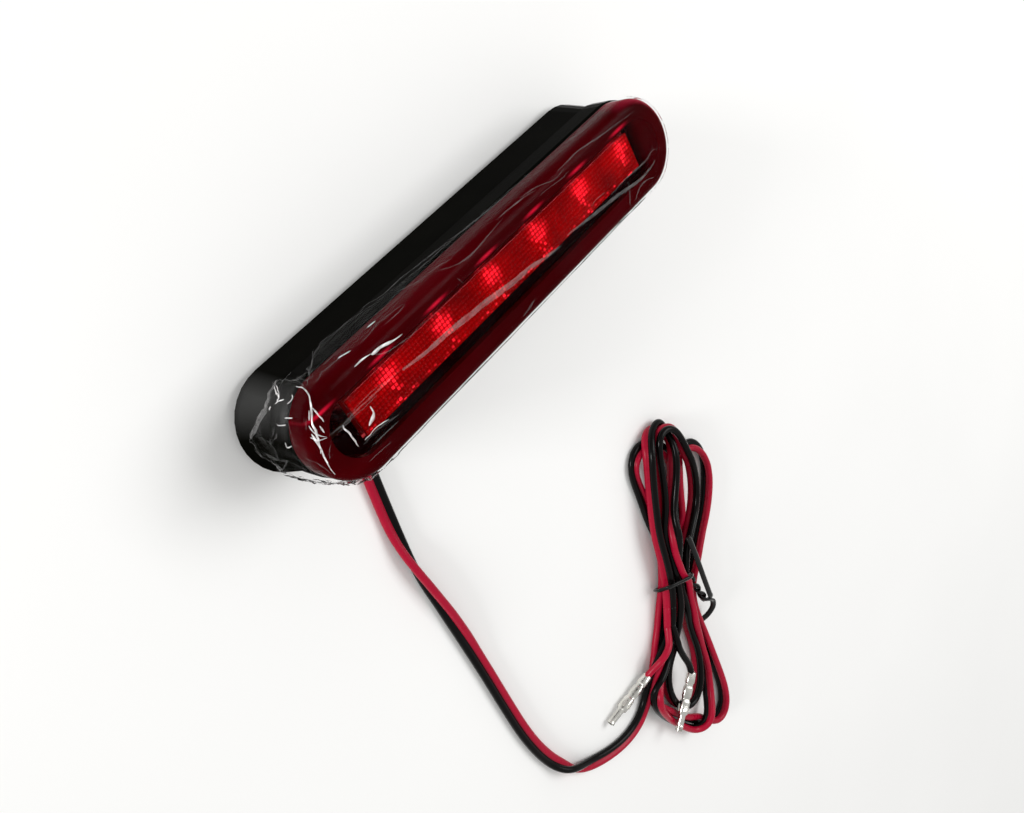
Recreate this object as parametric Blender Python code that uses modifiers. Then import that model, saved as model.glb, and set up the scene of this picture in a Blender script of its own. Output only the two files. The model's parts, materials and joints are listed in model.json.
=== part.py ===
"""Third brake light: a surface-mount high stop lamp with six lamps behind a red lens,
a flat two-core lead, two crimp terminals and the clear film that it is sold in.

Frame: +Z is the way the lens faces, +X runs along the lamp, and the lead leaves on
the -Y side near the -X end. The back gasket lies on Z = 0.
Sizes are written in millimetres and turned into metres by MM.
"""
import math

import bmesh
import bpy
from mathutils import Vector

MM = 0.001
GAP = 0.3                      # room kept between pieces that touch

# ---- driving dimensions, millimetres ----
END_CENTRE = 61.0              # half the distance between the round ends' centres
LENS_R = 14.0                  # end radius of the lens, so it is 150 x 28
LENS_TOP = 34.0
LENS_EDGE_R = 3.0
LENS_WALL = 2.0
RIM_R = 14.4                   # raised band of the housing under the lens
RIM_BOTTOM = 17.0
RIM_TOP = 25.2
BODY_TOP_R = 13.4              # housing wall where it meets the band
BASE_R = 15.2                  # housing wall at the back, so it is 156 x 30.4
BASE_END_CENTRE = 62.8
WALL = 2.4
LEDGE_R = 10.6                 # opening that the reflector stands in
LEDGE_BOTTOM = 21.0
RIM_EDGE = 0.9                 # rounding under the band
GASKET_T = 2.0
GASKET_INSET = 0.6
BACK_T = 2.4
BACK_INSET = 0.6               # room between the back plate and the housing wall
BACK_BOTTOM = GASKET_T + GAP
BACK_TOP = BACK_BOTTOM + BACK_T
HOUSING_BOTTOM = BACK_BOTTOM
ARC_STEPS = 16                 # segments in each round end
ROUND = 16                     # sides of the larger round bosses and bores

SCREW_HOLE_R = 1.5
SCREW_R = 1.15
BOSSES = [(sx * 40.0, sy * 9.2) for sx in (1, -1) for sy in (1, -1)]
BOSS_R = 2.8
BOSS_TOP = 12.2
BOSS_RIB_HALF = 1.0
SINK_R = 2.75                  # countersinks in the back plate
SINK_DEPTH = 1.7
POST_R = 3.4                   # posts of the back plate under the board's ends

INSERT_X = 25.0                # threaded inserts for the mounting screws
INSERT_R = 3.2
INSERT_BORE_R = 2.1
INSERT_SEAT_R = 5.2
INSERT_LENGTH = 6.2

SEAL_MIDDLE_R = 12.6           # centre line of the seal groove
GROOVE_HALF = 0.7
GROOVE_DEPTH = 1.4
SEAL_HALF = 0.4
SEAL_PROUD = 0.1

CELLS = 6
CELL_PITCH = 20.0
CELL_RINGS = 4                 # steps in the depth of a bowl
REFLECTOR_HALF_WIDTH = 5.8
REFLECTOR_END_WALL = 0.6
REFLECTOR_BOTTOM = 14.6
REFLECTOR_TOP = 29.6
EAR_T = 1.8
EAR_HALF_LENGTH = 69.0
EAR_X = 65.0                   # screws that hold the reflector and the board

BOARD_HALF_LENGTH = 69.0
BOARD_HALF_WIDTH = 8.0
BOARD_BOTTOM = 12.7
BOARD_T = 1.6
LEG_OFFSET = 1.27              # half the leg spacing of a lamp
LEG_R = 0.3
LED_R = 2.5
PART_LEG_X = 5.0               # half the leg spacing of the resistors and the diode
AXIAL_X = (-20.0, 20.0, 50.0)  # the two resistors, then the diode
AXIAL_Y = 4.5
WIRE_R = 1.0
WIRE_PADS = ((-54.5, 2.6), (-58.0, -2.6))  # red, then black

MASK_R = 11.6
MASK_WALL = 1.2
MASK_LIP = 1.4
MASK_WINDOW_R = 8.1
STRIP_HALF_WIDTH = 5.6         # the thicker optic strip inside the lens

FILM_T = 0.4
FILM_BOTTOM = 20.0
FILM_FAR_X = 62.0              # beyond this the film's skirt is shorter
FILM_FAR_BOTTOM = 27.0

CORD_X = -52.0                 # where the lead leaves the -Y wall
NOTCH_HALF = 4.4
NOTCH_TOP = 8.0
COLLAR_HALF = 5.2
CORE_R = 1.3                   # one insulated core of the lead
LEAD_R = 1.85                  # round stand-in for the flat pair, 5.2 x 2.6

HANK_CENTRE = (18.5, -164.0)   # middle of the tied waist of the folded lead
HANK_ALONG = (-0.39, -0.92)    # from its far loops to its near loops
HANK_FAR = 68.0
HANK_NEAR = 65.5
HANK_LOBE = 21.4
HANK_WAIST = 11.6
HANK_HEIGHT = 10.6
TIE_R = 0.8
HANK_STATIONS = 16             # outline points along each side of the hank

# the lead's route from the grommet to the hank: x, y, z in millimetres
LEAD_ROUTE = (
    (-52.0, -18.3, 5.0), (-52.2, -22.5, 4.4), (-53.2, -28.0, 2.6), (-54.7, -34.5, 1.9),
    (-57.3, -46.2, 1.9), (-59.2, -56.5, 1.9), (-60.0, -68.0, 1.9), (-59.9, -81.3, 1.9),
    (-60.1, -97.0, 1.9), (-60.9, -112.3, 1.9), (-62.0, -127.5, 1.9), (-62.8, -143.6, 1.9),
    (-61.9, -157.5, 1.9), (-58.9, -168.9, 1.9), (-52.8, -178.0, 1.9), (-43.6, -185.0, 1.9),
    (-32.6, -189.5, 1.9), (-22.6, -190.0, 1.9), (-16.8, -187.8, 2.1),
)
RED_TAIL = ((4.0, -172.5, 11.5), (3.8, -172.6, 12.9), (0.6, -173.9, 13.5), (-3.4, -175.4, 13.0),
            (-7.0, -176.4, 11.8), (-10.0, -176.9, 8.8), (-12.2, -177.0, 6.0), (-14.4, -177.0, 4.0),
            (-16.4, -177.0, 3.6))
BLACK_TAIL = ((8.4, -174.6, 11.5), (8.35, -174.8, 12.8), (8.1, -178.2, 13.3), (7.0, -182.2, 13.1),
              (5.3, -184.6, 13.0), (4.0, -185.4, 13.0))
RED_TIP = (-38.6, -176.9, 1.7)
BLACK_TIP = (-14.2, -196.8, 13.0)

BLACK_PLASTIC = ("black_plastic", (0.012, 0.012, 0.013), 0.38, 0.0)
RED_LENS = ("red_lens", (0.28, 0.006, 0.012), 0.08, 0.0)
FOAM = ("black_foam", (0.02, 0.02, 0.02), 0.95, 0.0)
RUBBER = ("black_rubber", (0.015, 0.015, 0.015), 0.7, 0.0)
SILVER_COAT = ("silver_coat", (0.85, 0.85, 0.86), 0.12, 1.0)
BOARD_GREEN = ("board_green", (0.03, 0.14, 0.06), 0.45, 0.0)
LED_RED = ("led_red", (0.5, 0.02, 0.02), 0.1, 0.0)
RESISTOR_TAN = ("resistor_tan", (0.55, 0.42, 0.26), 0.5, 0.0)
DIODE_BLACK = ("diode_black", (0.02, 0.02, 0.02), 0.35, 0.0)
ZINC = ("zinc_steel", (0.6, 0.6, 0.58), 0.32, 1.0)
BRASS = ("brass", (0.62, 0.45, 0.18), 0.3, 1.0)
RED_PVC = ("red_pvc", (0.42, 0.008, 0.03), 0.3, 0.0)
BLACK_PVC = ("black_pvc", (0.012, 0.012, 0.012), 0.28, 0.0)
TIN = ("tin_plate", (0.66, 0.66, 0.63), 0.25, 1.0)
FILM = ("clear_film", (0.9, 0.9, 0.92), 0.12, 0.0)


def material(finish):
    """Give the Principled material of one finish, made once."""
    name, colour, roughness, metallic = finish
    found = bpy.data.materials.get(name)
    if found:
        return found
    made = bpy.data.materials.new(name)
    made.use_nodes = True
    shader = made.node_tree.nodes["Principled BSDF"]
    shader.inputs["Base Color"].default_value = (*colour, 1.0)
    shader.inputs["Roughness"].default_value = roughness
    shader.inputs["Metallic"].default_value = metallic
    made.diffuse_color = (*colour, 1.0)
    return made


def add(name, mesh, finish, group="parts"):
    """Put a mesh into the scene as a named object."""
    obj = bpy.data.objects.new(name, mesh)
    GROUPS[group].objects.link(obj)
    if finish:
        obj.data.materials.append(material(finish))
    return obj


def cutter(name, mesh):
    """Put a closed mesh into the scene as a cutter that is not built."""
    obj = add(name, mesh, None, "cutters")
    obj.hide_render = True
    obj.display_type = "WIRE"
    return obj


def cut(obj, tool, operation="DIFFERENCE"):
    """Cut or join an object with a tool object."""
    step = obj.modifiers.new(operation.title() + "_" + tool.name, "BOOLEAN")
    step.operation = operation
    step.solver = "EXACT"
    step.object = tool


def to_mesh(name, bm, smooth_angle=math.radians(35)):
    """Turn a bmesh in millimetres into a mesh in metres with outward faces."""
    bmesh.ops.scale(bm, vec=(MM, MM, MM), verts=bm.verts)
    bmesh.ops.recalc_face_normals(bm, faces=bm.faces)
    mesh = bpy.data.meshes.new(name)
    bm.to_mesh(mesh)
    bm.free()
    mesh.shade_smooth()
    mesh.set_sharp_from_angle(angle=smooth_angle)
    return mesh


def stadium(radius, half, z, steps=ARC_STEPS):
    """Points of a stadium outline: round ends of one radius about (+-half, 0)."""
    points = []
    for side in (1, -1):
        for i in range(steps + 1):
            angle = math.pi * (i / steps - 0.5)
            points.append((side * (half + radius * math.cos(angle)), side * radius * math.sin(angle), z))
    return points


def loft(name, rings, closed=False):
    """Skin a stack of outlines with the same point count; capped, or closed into a ring."""
    bm = bmesh.new()
    made = [[bm.verts.new(p) for p in ring] for ring in rings]
    count = len(made[0])
    pairs = list(zip(made, made[1:]))
    if closed:
        pairs.append((made[-1], made[0]))
    for low, high in pairs:
        for i in range(count):
            j = (i + 1) % count
            bm.faces.new((low[i], low[j], high[j], high[i]))
    if not closed:
        bm.faces.new(made[0])
        bm.faces.new(made[-1])
    return to_mesh(name, bm)


def stadium_lathe(name, profile, closed=False):
    """Carry a profile of (radius, half, z) round a stadium path."""
    return loft(name, [stadium(r, half, z) for r, half, z in profile], closed)


def box(name, low, high):
    """A box between two corners."""
    bm = bmesh.new()
    bmesh.ops.create_cube(bm, size=1.0)
    size = [b - a for a, b in zip(low, high)]
    middle = [(a + b) / 2 for a, b in zip(low, high)]
    bmesh.ops.scale(bm, vec=size, verts=bm.verts)
    bmesh.ops.translate(bm, vec=middle, verts=bm.verts)
    return to_mesh(name, bm)


def rod(name, radius, low, high, x=0.0, y=0.0, sides=12, top_radius=None):
    """An upright cylinder or cone between two heights."""
    bm = bmesh.new()
    bmesh.ops.create_cone(bm, cap_ends=True, segments=sides, radius1=radius,
                          radius2=radius if top_radius is None else top_radius, depth=high - low)
    bmesh.ops.translate(bm, vec=(x, y, (low + high) / 2), verts=bm.verts)
    return to_mesh(name, bm)


def turned(name, profile, finish, sides=16):
    """A solid turned about Z from (radius, z) points that run from top to bottom."""
    mesh = bpy.data.meshes.new(name)
    points = [(r * MM, 0.0, z * MM) for r, z in profile]
    mesh.from_pydata(points, [(i, i + 1) for i in range(len(points) - 1)], [])
    obj = add(name, mesh, finish)
    screw = obj.modifiers.new("Turn", "SCREW")
    screw.steps = sides
    screw.render_steps = sides
    screw.use_merge_vertices = True
    screw.merge_threshold = 0.00001
    return obj


def smooth_route(points, spacing):
    """Read points along a Catmull-Rom curve through the route's own points."""
    nodes = [Vector(p) for p in points]
    nodes = [2 * nodes[0] - nodes[1]] + nodes + [2 * nodes[-1] - nodes[-2]]
    dense = []
    for a, b, c, d in zip(nodes, nodes[1:], nodes[2:], nodes[3:]):
        for i in range(20):
            t = i / 20
            dense.append(0.5 * (2 * b + (c - a) * t + (2 * a - 5 * b + 4 * c - d) * t * t
                                + (3 * b - a - 3 * c + d) * t ** 3))
    dense.append(nodes[-2])
    total = sum((q - p).length for p, q in zip(dense, dense[1:]))
    count = max(3, round(total / spacing))
    picked, walked, index = [dense[0]], 0.0, 1
    for p, q in zip(dense, dense[1:]):
        walked += (q - p).length
        if walked >= index * total / count and index < count:
            picked.append(q)
            index += 1
    return picked + [dense[-1]]


def tube(name, points, radius, finish):
    """A round wire along a list of points."""
    curve = bpy.data.curves.new(name, "CURVE")
    curve.dimensions = "3D"
    curve.bevel_depth = radius * MM
    curve.bevel_resolution = 2
    curve.use_fill_caps = True
    spline = curve.splines.new("POLY")
    spline.points.add(len(points) - 1)
    for slot, p in zip(spline.points, points):
        slot.co = (p[0] * MM, p[1] * MM, p[2] * MM, 1.0)
    curve.materials.append(material(finish))
    obj = bpy.data.objects.new(name, curve)
    GROUPS["parts"].objects.link(obj)
    return obj


def arc(centre_r, centre_z, radius, start, stop, steps, half):
    """Profile points on a quarter round, angles in degrees from outward to up."""
    points = []
    for i in range(steps + 1):
        angle = math.radians(start + (stop - start) * i / steps)
        points.append((centre_r + radius * math.cos(angle), half, centre_z + radius * math.sin(angle)))
    return points


# ---- housing and back ----

def wall_radius(z):
    """Outer end radius of the housing wall at a height below the band."""
    t = (z - HOUSING_BOTTOM) / (RIM_BOTTOM - HOUSING_BOTTOM)
    return BASE_R + (BODY_TOP_R - BASE_R) * t


def wall_half(z):
    """Half distance between the wall's end centres at a height below the band."""
    t = (z - HOUSING_BOTTOM) / (RIM_BOTTOM - HOUSING_BOTTOM)
    return BASE_END_CENTRE + (END_CENTRE - BASE_END_CENTRE) * t


def housing():
    """Flared black shell, open at the back, with a raised band and a seal groove on top."""
    edge, top_edge = 0.8, 0.4
    low_in, low_out = SEAL_MIDDLE_R - GROOVE_HALF, SEAL_MIDDLE_R + GROOVE_HALF
    groove_z = RIM_TOP - GROOVE_DEPTH
    outer = [(BASE_R - edge, BASE_END_CENTRE, HOUSING_BOTTOM),
             (wall_radius(HOUSING_BOTTOM + edge), wall_half(HOUSING_BOTTOM + edge), HOUSING_BOTTOM + edge),
             (BODY_TOP_R, END_CENTRE, RIM_BOTTOM)]
    outer += arc(RIM_R - RIM_EDGE, RIM_BOTTOM + RIM_EDGE, RIM_EDGE, -90, 0, 2, END_CENTRE)
    outer += arc(RIM_R - top_edge, RIM_TOP - top_edge, top_edge, 0, 90, 1, END_CENTRE)
    groove = [(low_out, END_CENTRE, RIM_TOP), (low_out, END_CENTRE, groove_z),
              (low_in, END_CENTRE, groove_z), (low_in, END_CENTRE, RIM_TOP)]
    ledge = [(LEDGE_R, END_CENTRE, RIM_TOP), (LEDGE_R, END_CENTRE, LEDGE_BOTTOM)]
    inside = [(BODY_TOP_R - WALL + GAP, END_CENTRE, LEDGE_BOTTOM - 1.0),
              (BASE_R - WALL, BASE_END_CENTRE, HOUSING_BOTTOM)]
    shell = add("housing", stadium_lathe("housing", outer + groove + ledge + inside, True), BLACK_PLASTIC)
    for i, (x, y) in enumerate(BOSSES):
        housing_boss(shell, i, x, y)
    notch = box("cord_notch", (CORD_X - NOTCH_HALF, -BASE_R - 2, HOUSING_BOTTOM - 1),
                (CORD_X + NOTCH_HALF, -9.0, NOTCH_TOP))
    cut(shell, cutter("cord_notch", notch))


def housing_boss(shell, index, x, y):
    """Screw boss inside the housing, with a rib to the wall and a blind hole."""
    bottom = BACK_TOP + GAP
    boss = rod(f"boss_{index}", BOSS_R, bottom, BOSS_TOP, x, y)
    cut(shell, cutter(f"boss_{index}", boss), "UNION")
    y0, y1 = sorted((y, math.copysign(BASE_R - WALL / 2, y)))
    rib = box(f"boss_rib_{index}", (x - BOSS_RIB_HALF, y0, bottom), (x + BOSS_RIB_HALF, y1, BOSS_TOP - 0.5))
    cut(shell, cutter(f"boss_rib_{index}", rib), "UNION")
    hole = rod(f"boss_hole_{index}", SCREW_HOLE_R, bottom - 1.0, BOSS_TOP - 1.0, x, y)
    cut(shell, cutter(f"boss_hole_{index}", hole))


def back_plate():
    """Flat plate that closes the back, with two posts for the board and two insert holes."""
    radius = BASE_R - WALL - BACK_INSET
    profile = [(radius, BASE_END_CENTRE, BACK_BOTTOM), (radius, BASE_END_CENTRE, BACK_TOP)]
    plate = add("back_plate", stadium_lathe("back_plate", profile), BLACK_PLASTIC)
    for i, side in enumerate((1, -1)):
        post = rod(f"post_{i}", POST_R, BACK_TOP - 0.5, BOARD_BOTTOM - GAP, side * EAR_X, 0, ROUND)
        cut(plate, cutter(f"post_{i}", post), "UNION")
        hole = rod(f"post_hole_{i}", SCREW_HOLE_R, BACK_TOP, BOARD_BOTTOM + 1, side * EAR_X)
        cut(plate, cutter(f"post_hole_{i}", hole))
        insert_top = BACK_BOTTOM + INSERT_LENGTH
        seat = rod(f"insert_seat_{i}", INSERT_SEAT_R, BACK_TOP - 0.5, insert_top, side * INSERT_X, 0, ROUND)
        cut(plate, cutter(f"insert_seat_{i}", seat), "UNION")
        bore = rod(f"insert_bore_{i}", INSERT_R + GAP, BACK_BOTTOM - 1, insert_top + 1, side * INSERT_X, 0,
                   ROUND)
        cut(plate, cutter(f"insert_bore_{i}", bore))
    for i, (x, y) in enumerate(BOSSES):
        hole = rod(f"plate_hole_{i}", SCREW_HOLE_R, BACK_BOTTOM - 1, BACK_TOP + 1, x, y)
        cut(plate, cutter(f"plate_hole_{i}", hole))
        sink = rod(f"plate_sink_{i}", SINK_R, BACK_BOTTOM - 0.01, BACK_BOTTOM + SINK_DEPTH, x, y,
                   top_radius=SCREW_HOLE_R)
        cut(plate, cutter(f"plate_sink_{i}", sink))


def threaded_inserts():
    """Two flanged brass sleeves in the back plate that take the mounting screws."""
    top, bottom = BACK_BOTTOM + INSERT_LENGTH, BACK_BOTTOM
    for name, side in (("mount_insert_near", -1), ("mount_insert_far", 1)):
        profile = [(INSERT_BORE_R, top), (INSERT_R, top), (INSERT_R, bottom), (INSERT_BORE_R, bottom),
                   (INSERT_BORE_R, top)]
        sleeve = turned(name, profile, BRASS)
        sleeve.location = (side * INSERT_X * MM, 0, 0)


def back_gasket():
    """Foam pad on the back with holes at the inserts; it is the face that meets the car."""
    radius = BASE_R - WALL - GASKET_INSET
    profile = [(radius, BASE_END_CENTRE, 0.0), (radius, BASE_END_CENTRE, GASKET_T)]
    pad = add("back_gasket", stadium_lathe("back_gasket", profile), FOAM)
    for i, side in enumerate((1, -1)):
        hole = rod(f"gasket_hole_{i}", INSERT_R + 1.0, -1, GASKET_T + 1, side * INSERT_X, 0, ROUND)
        cut(pad, cutter(f"gasket_hole_{i}", hole))


def countersunk_screw(name, x, y):
    """Small flat-head screw pointing up, from the back."""
    head = BACK_BOTTOM + 0.2
    tip, head_r = BOSS_TOP - 1.6, SINK_R - 0.45
    profile = [(0, tip), (0.7, tip - 0.6), (SCREW_R, tip - 1.2), (SCREW_R, head + 1.3), (head_r, head),
               (0, head)]
    screw = turned(name, profile, ZINC, 12)
    screw.location = (x * MM, y * MM, 0)
    slots = box(name + "_cross", (-1.6, -0.28, head - 0.1), (1.6, 0.28, head + 0.6))
    tool = cutter(name + "_cross", slots)
    tool.location = (x * MM, y * MM, 0)
    cut(screw, tool)


def pan_screw(name, x, seat):
    """Pan-head screw pointing down, through the reflector ear and the board into a post."""
    profile = [(0, seat + 1.9), (1.7, seat + 1.75), (2.6, seat + 1.1), (2.75, seat), (SCREW_R, seat),
               (SCREW_R, seat - 9.0), (0, seat - 9.8)]
    screw = turned(name, profile, ZINC, 14)
    screw.location = (x * MM, 0, 0)
    for k, low in enumerate(((-1.5, -0.3), (-0.3, -1.5))):
        tool = cutter(f"{name}_slot_{k}", box(f"{name}_slot_{k}", (*low, seat + 1.0),
                                             (-low[0], -low[1], seat + 3.0)))
        tool.location = (x * MM, 0, 0)
        cut(screw, tool)


# ---- light unit ----

def cell_centres():
    """X of each lamp cell."""
    return [CELL_PITCH * (i - (CELLS - 1) / 2) for i in range(CELLS)]


def rounded_ring(half_x, half_y, power, z, x=0.0, steps=20):
    """A superellipse outline: power 2 is an ellipse, a high power is nearly a rectangle."""
    points = []
    for i in range(steps):
        angle = 2 * math.pi * i / steps
        c, s = math.cos(angle), math.sin(angle)
        points.append((x + half_x * math.copysign(abs(c) ** (2 / power), c),
                       half_y * math.copysign(abs(s) ** (2 / power), s), z))
    return points


def cell_cutter(index, x):
    """Bowl that opens from the lamp hole to the full cell."""
    depth, hole = REFLECTOR_TOP - REFLECTOR_BOTTOM - 1.2, 3.3
    rings = [rounded_ring(hole, hole, 2, REFLECTOR_BOTTOM - 1, x),
             rounded_ring(hole, hole, 2, REFLECTOR_BOTTOM + 1.2, x)]
    for k in range(1, CELL_RINGS + 1):
        t = k / CELL_RINGS
        spread = math.sqrt(t)
        rings.append(rounded_ring(hole + (CELL_PITCH / 2 - 0.35 - hole) * spread,
                                  hole + (REFLECTOR_HALF_WIDTH - 0.7 - hole) * spread,
                                  2 + 5 * t, REFLECTOR_BOTTOM + 1.2 + depth * t, x))
    rings.append(rounded_ring(CELL_PITCH / 2 - 0.35, REFLECTOR_HALF_WIDTH - 0.7, 7, REFLECTOR_TOP + 1, x))
    return loft(f"cell_{index}", rings)


def reflector():
    """Trough of six silvered bowls with an ear and a screw hole at each end."""
    half = CELLS * CELL_PITCH / 2 + REFLECTOR_END_WALL
    trough = add("reflector", box("reflector", (-half, -REFLECTOR_HALF_WIDTH, REFLECTOR_BOTTOM),
                                  (half, REFLECTOR_HALF_WIDTH, REFLECTOR_TOP)), SILVER_COAT)
    for i, side in enumerate((1, -1)):
        low, high = sorted((side * (half - 1), side * EAR_HALF_LENGTH))
        ear = box(f"ear_{i}", (low, -REFLECTOR_HALF_WIDTH + 0.4, REFLECTOR_BOTTOM),
                  (high, REFLECTOR_HALF_WIDTH - 0.4, REFLECTOR_BOTTOM + EAR_T))
        cut(trough, cutter(f"ear_{i}", ear), "UNION")
        hole = rod(f"ear_hole_{i}", SCREW_HOLE_R, REFLECTOR_BOTTOM - 1, REFLECTOR_BOTTOM + 4, side * EAR_X)
        cut(trough, cutter(f"ear_hole_{i}", hole))
    for i, x in enumerate(cell_centres()):
        cut(trough, cutter(f"cell_{i}", cell_cutter(i, x)))


def led(index, x):
    """Round-top 5 mm red lamp with its rim and two legs through the board."""
    base = BOARD_BOTTOM + BOARD_T + GAP
    profile = [(0.0, base + 6.1 + LED_R)]
    for k in range(1, 4):
        angle = math.radians(90 - 30 * k)
        profile.append((LED_R * math.cos(angle), base + 6.1 + LED_R * math.sin(angle)))
    profile += [(LED_R, base + 1.0), (LED_R + 0.4, base + 1.0), (LED_R + 0.4, base), (0.0, base)]
    body = turned(f"led_{index}", profile, LED_RED)
    body.location = (x * MM, 0, 0)
    for k, offset in enumerate((-LEG_OFFSET, LEG_OFFSET)):
        leg = cutter(f"led_{index}_leg_{k}", rod("leg", LEG_R, BOARD_BOTTOM - 1.6, base + 0.5, offset, 0, 8))
        leg.location = body.location
        cut(body, leg, "UNION")


def circuit_board():
    """Narrow board with a hole for each leg, wire and screw."""
    low = (-BOARD_HALF_LENGTH, -BOARD_HALF_WIDTH, BOARD_BOTTOM)
    high = (BOARD_HALF_LENGTH, BOARD_HALF_WIDTH, BOARD_BOTTOM + BOARD_T)
    board = add("circuit_board", box("circuit_board", low, high), BOARD_GREEN)
    holes = [(x + off, 0.0, LEG_R + GAP) for x in cell_centres() for off in (-LEG_OFFSET, LEG_OFFSET)]
    holes += [(x + off, AXIAL_Y, LEG_R + GAP) for x in AXIAL_X for off in (-PART_LEG_X, PART_LEG_X)]
    holes += [(x, y, WIRE_R + GAP) for x, y in WIRE_PADS]
    holes += [(side * EAR_X, 0.0, SCREW_HOLE_R) for side in (1, -1)]
    for i, (x, y, radius) in enumerate(holes):
        hole = rod(f"board_hole_{i}", radius, BOARD_BOTTOM - 1, BOARD_BOTTOM + BOARD_T + 1, x, y, 8)
        cut(board, cutter(f"board_hole_{i}", hole))


def axial_part(name, x, body_r, body_half, finish):
    """Resistor or diode that lies under the board, its legs bent up through the board."""
    middle = BOARD_BOTTOM - GAP - body_r - 0.4
    profile = [(0, PART_LEG_X + LEG_R), (LEG_R, PART_LEG_X + LEG_R), (LEG_R, body_half),
               (body_r * 0.8, body_half), (body_r, body_half - 0.5), (body_r, 0.5 - body_half),
               (body_r * 0.8, -body_half), (LEG_R, -body_half), (LEG_R, -PART_LEG_X - LEG_R),
               (0, -PART_LEG_X - LEG_R)]
    body = turned(name, profile, finish, 12)
    body.rotation_euler = (0, math.pi / 2, 0)
    body.location = (x * MM, AXIAL_Y * MM, middle * MM)
    for k, offset in enumerate((-PART_LEG_X, PART_LEG_X)):
        leg = rod("leg", LEG_R * 0.98, middle - 0.1, BOARD_BOTTOM + BOARD_T + 0.1, x + offset, AXIAL_Y, 8)
        cut(body, cutter(f"{name}_leg_{k}", leg), "UNION")


def light_mask():
    """Black frame under the lens that hides all but the optic strip and the ends' screws."""
    inner, top = MASK_R - MASK_WALL, LENS_TOP - LENS_WALL - 0.8
    floor = top - MASK_LIP
    profile = [(inner, END_CENTRE, RIM_TOP + GAP), (MASK_R, END_CENTRE, RIM_TOP + GAP),
               (MASK_R, END_CENTRE, top), (MASK_WINDOW_R, END_CENTRE, top),
               (MASK_WINDOW_R, END_CENTRE, floor), (inner, END_CENTRE, floor)]
    add("light_mask", stadium_lathe("light_mask", profile, True), BLACK_PLASTIC)


def lens_seal():
    """Rubber ring in the band's groove."""
    low, high = RIM_TOP - GROOVE_DEPTH + GAP, RIM_TOP + SEAL_PROUD
    inner, outer = SEAL_MIDDLE_R - SEAL_HALF, SEAL_MIDDLE_R + SEAL_HALF
    profile = [(inner, END_CENTRE, low), (outer, END_CENTRE, low), (outer, END_CENTRE, high),
               (inner, END_CENTRE, high)]
    add("lens_seal", stadium_lathe("lens_seal", profile, True), RUBBER)


def lens():
    """Red cap with a rounded top edge and a thicker optic strip inside."""
    bottom, inner_r = RIM_TOP + SEAL_PROUD + GAP, LENS_R - LENS_WALL
    profile = [(LENS_R - 0.3, END_CENTRE, bottom), (LENS_R, END_CENTRE, bottom + 0.3)]
    profile += arc(LENS_R - LENS_EDGE_R, LENS_TOP - LENS_EDGE_R, LENS_EDGE_R, 0, 90, 4, END_CENTRE)
    cap = add("lens", stadium_lathe("lens", profile), RED_LENS)
    inside = [(inner_r, END_CENTRE, bottom - 1), (inner_r, END_CENTRE, LENS_TOP - LENS_WALL - 1.2),
              (inner_r - 1.2, END_CENTRE, LENS_TOP - LENS_WALL)]
    cut(cap, cutter("lens_hollow", stadium_lathe("lens_hollow", inside)))
    half = CELLS * CELL_PITCH / 2
    strip = box("optic_strip", (-half, -STRIP_HALF_WIDTH, LENS_TOP - LENS_WALL - 0.7),
                (half, STRIP_HALF_WIDTH, LENS_TOP - 0.5))
    cut(cap, cutter("optic_strip", strip), "UNION")


def protective_film():
    """Thin clear sheet over the lens and the band, with a shorter skirt at the far end."""
    inner_r, inner_top = RIM_R + GAP, LENS_TOP + GAP
    outer_r, outer_top = inner_r + FILM_T, inner_top + FILM_T
    profile = [(inner_r, END_CENTRE, FILM_BOTTOM), (outer_r, END_CENTRE, FILM_BOTTOM)]
    profile += arc(outer_r - LENS_EDGE_R, outer_top - LENS_EDGE_R, LENS_EDGE_R, 0, 90, 3, END_CENTRE)
    sheet = add("protective_film", stadium_lathe("protective_film", profile), FILM)
    inside = [(inner_r, END_CENTRE, FILM_BOTTOM - 1)]
    inside += arc(inner_r - LENS_EDGE_R, inner_top - LENS_EDGE_R, LENS_EDGE_R, 0, 90, 3, END_CENTRE)
    cut(sheet, cutter("film_hollow", stadium_lathe("film_hollow", inside)))
    beyond = 2 * BASE_END_CENTRE
    far_edge = box("film_far_edge", (FILM_FAR_X, -beyond, 0), (beyond, beyond, FILM_FAR_BOTTOM))
    cut(sheet, cutter("film_far_edge", far_edge))


# ---- lead ----

def grommet():
    """Rubber bush in the wall notch, clamped from below by the back plate."""
    low, high = BACK_TOP + GAP, NOTCH_TOP - 0.4
    half = NOTCH_HALF - 0.4
    bush = add("grommet", box("grommet", (CORD_X - half, -18.0, low), (CORD_X + half, -9.6, high)), RUBBER)
    outer = box("grommet_outer", (CORD_X - COLLAR_HALF, -17.2, low),
                (CORD_X + COLLAR_HALF, -15.8, high + 1.2))
    cut(bush, cutter("grommet_outer", outer), "UNION")
    inner = box("grommet_inner", (CORD_X - COLLAR_HALF, -11.2, low), (CORD_X + COLLAR_HALF, -9.9, high))
    cut(bush, cutter("grommet_inner", inner), "UNION")


def inner_wires():
    """The two cores inside the housing, from the grommet up to their holes in the board."""
    top = BOARD_BOTTOM - GAP
    (rx, ry), (bx, by) = WIRE_PADS
    red = ((CORD_X + 1.5, -9.3, 6.3), (CORD_X + 1.2, -6.5, 6.4), (CORD_X - 0.4, -2.0, 7.2),
           (rx + 0.2, ry - 1.0, 8.8), (rx, ry, 10.6), (rx, ry, top))
    black = ((CORD_X - 1.5, -9.3, 6.3), (CORD_X - 2.2, -7.0, 6.4), (CORD_X - 4.6, -4.2, 7.6),
             (bx, by, 9.5), (bx, by, 10.8), (bx, by, top))
    tube("inner_wire_red", smooth_route(red, 2.2), WIRE_R, RED_PVC)
    tube("inner_wire_black", smooth_route(black, 2.2), WIRE_R, BLACK_PVC)


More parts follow.
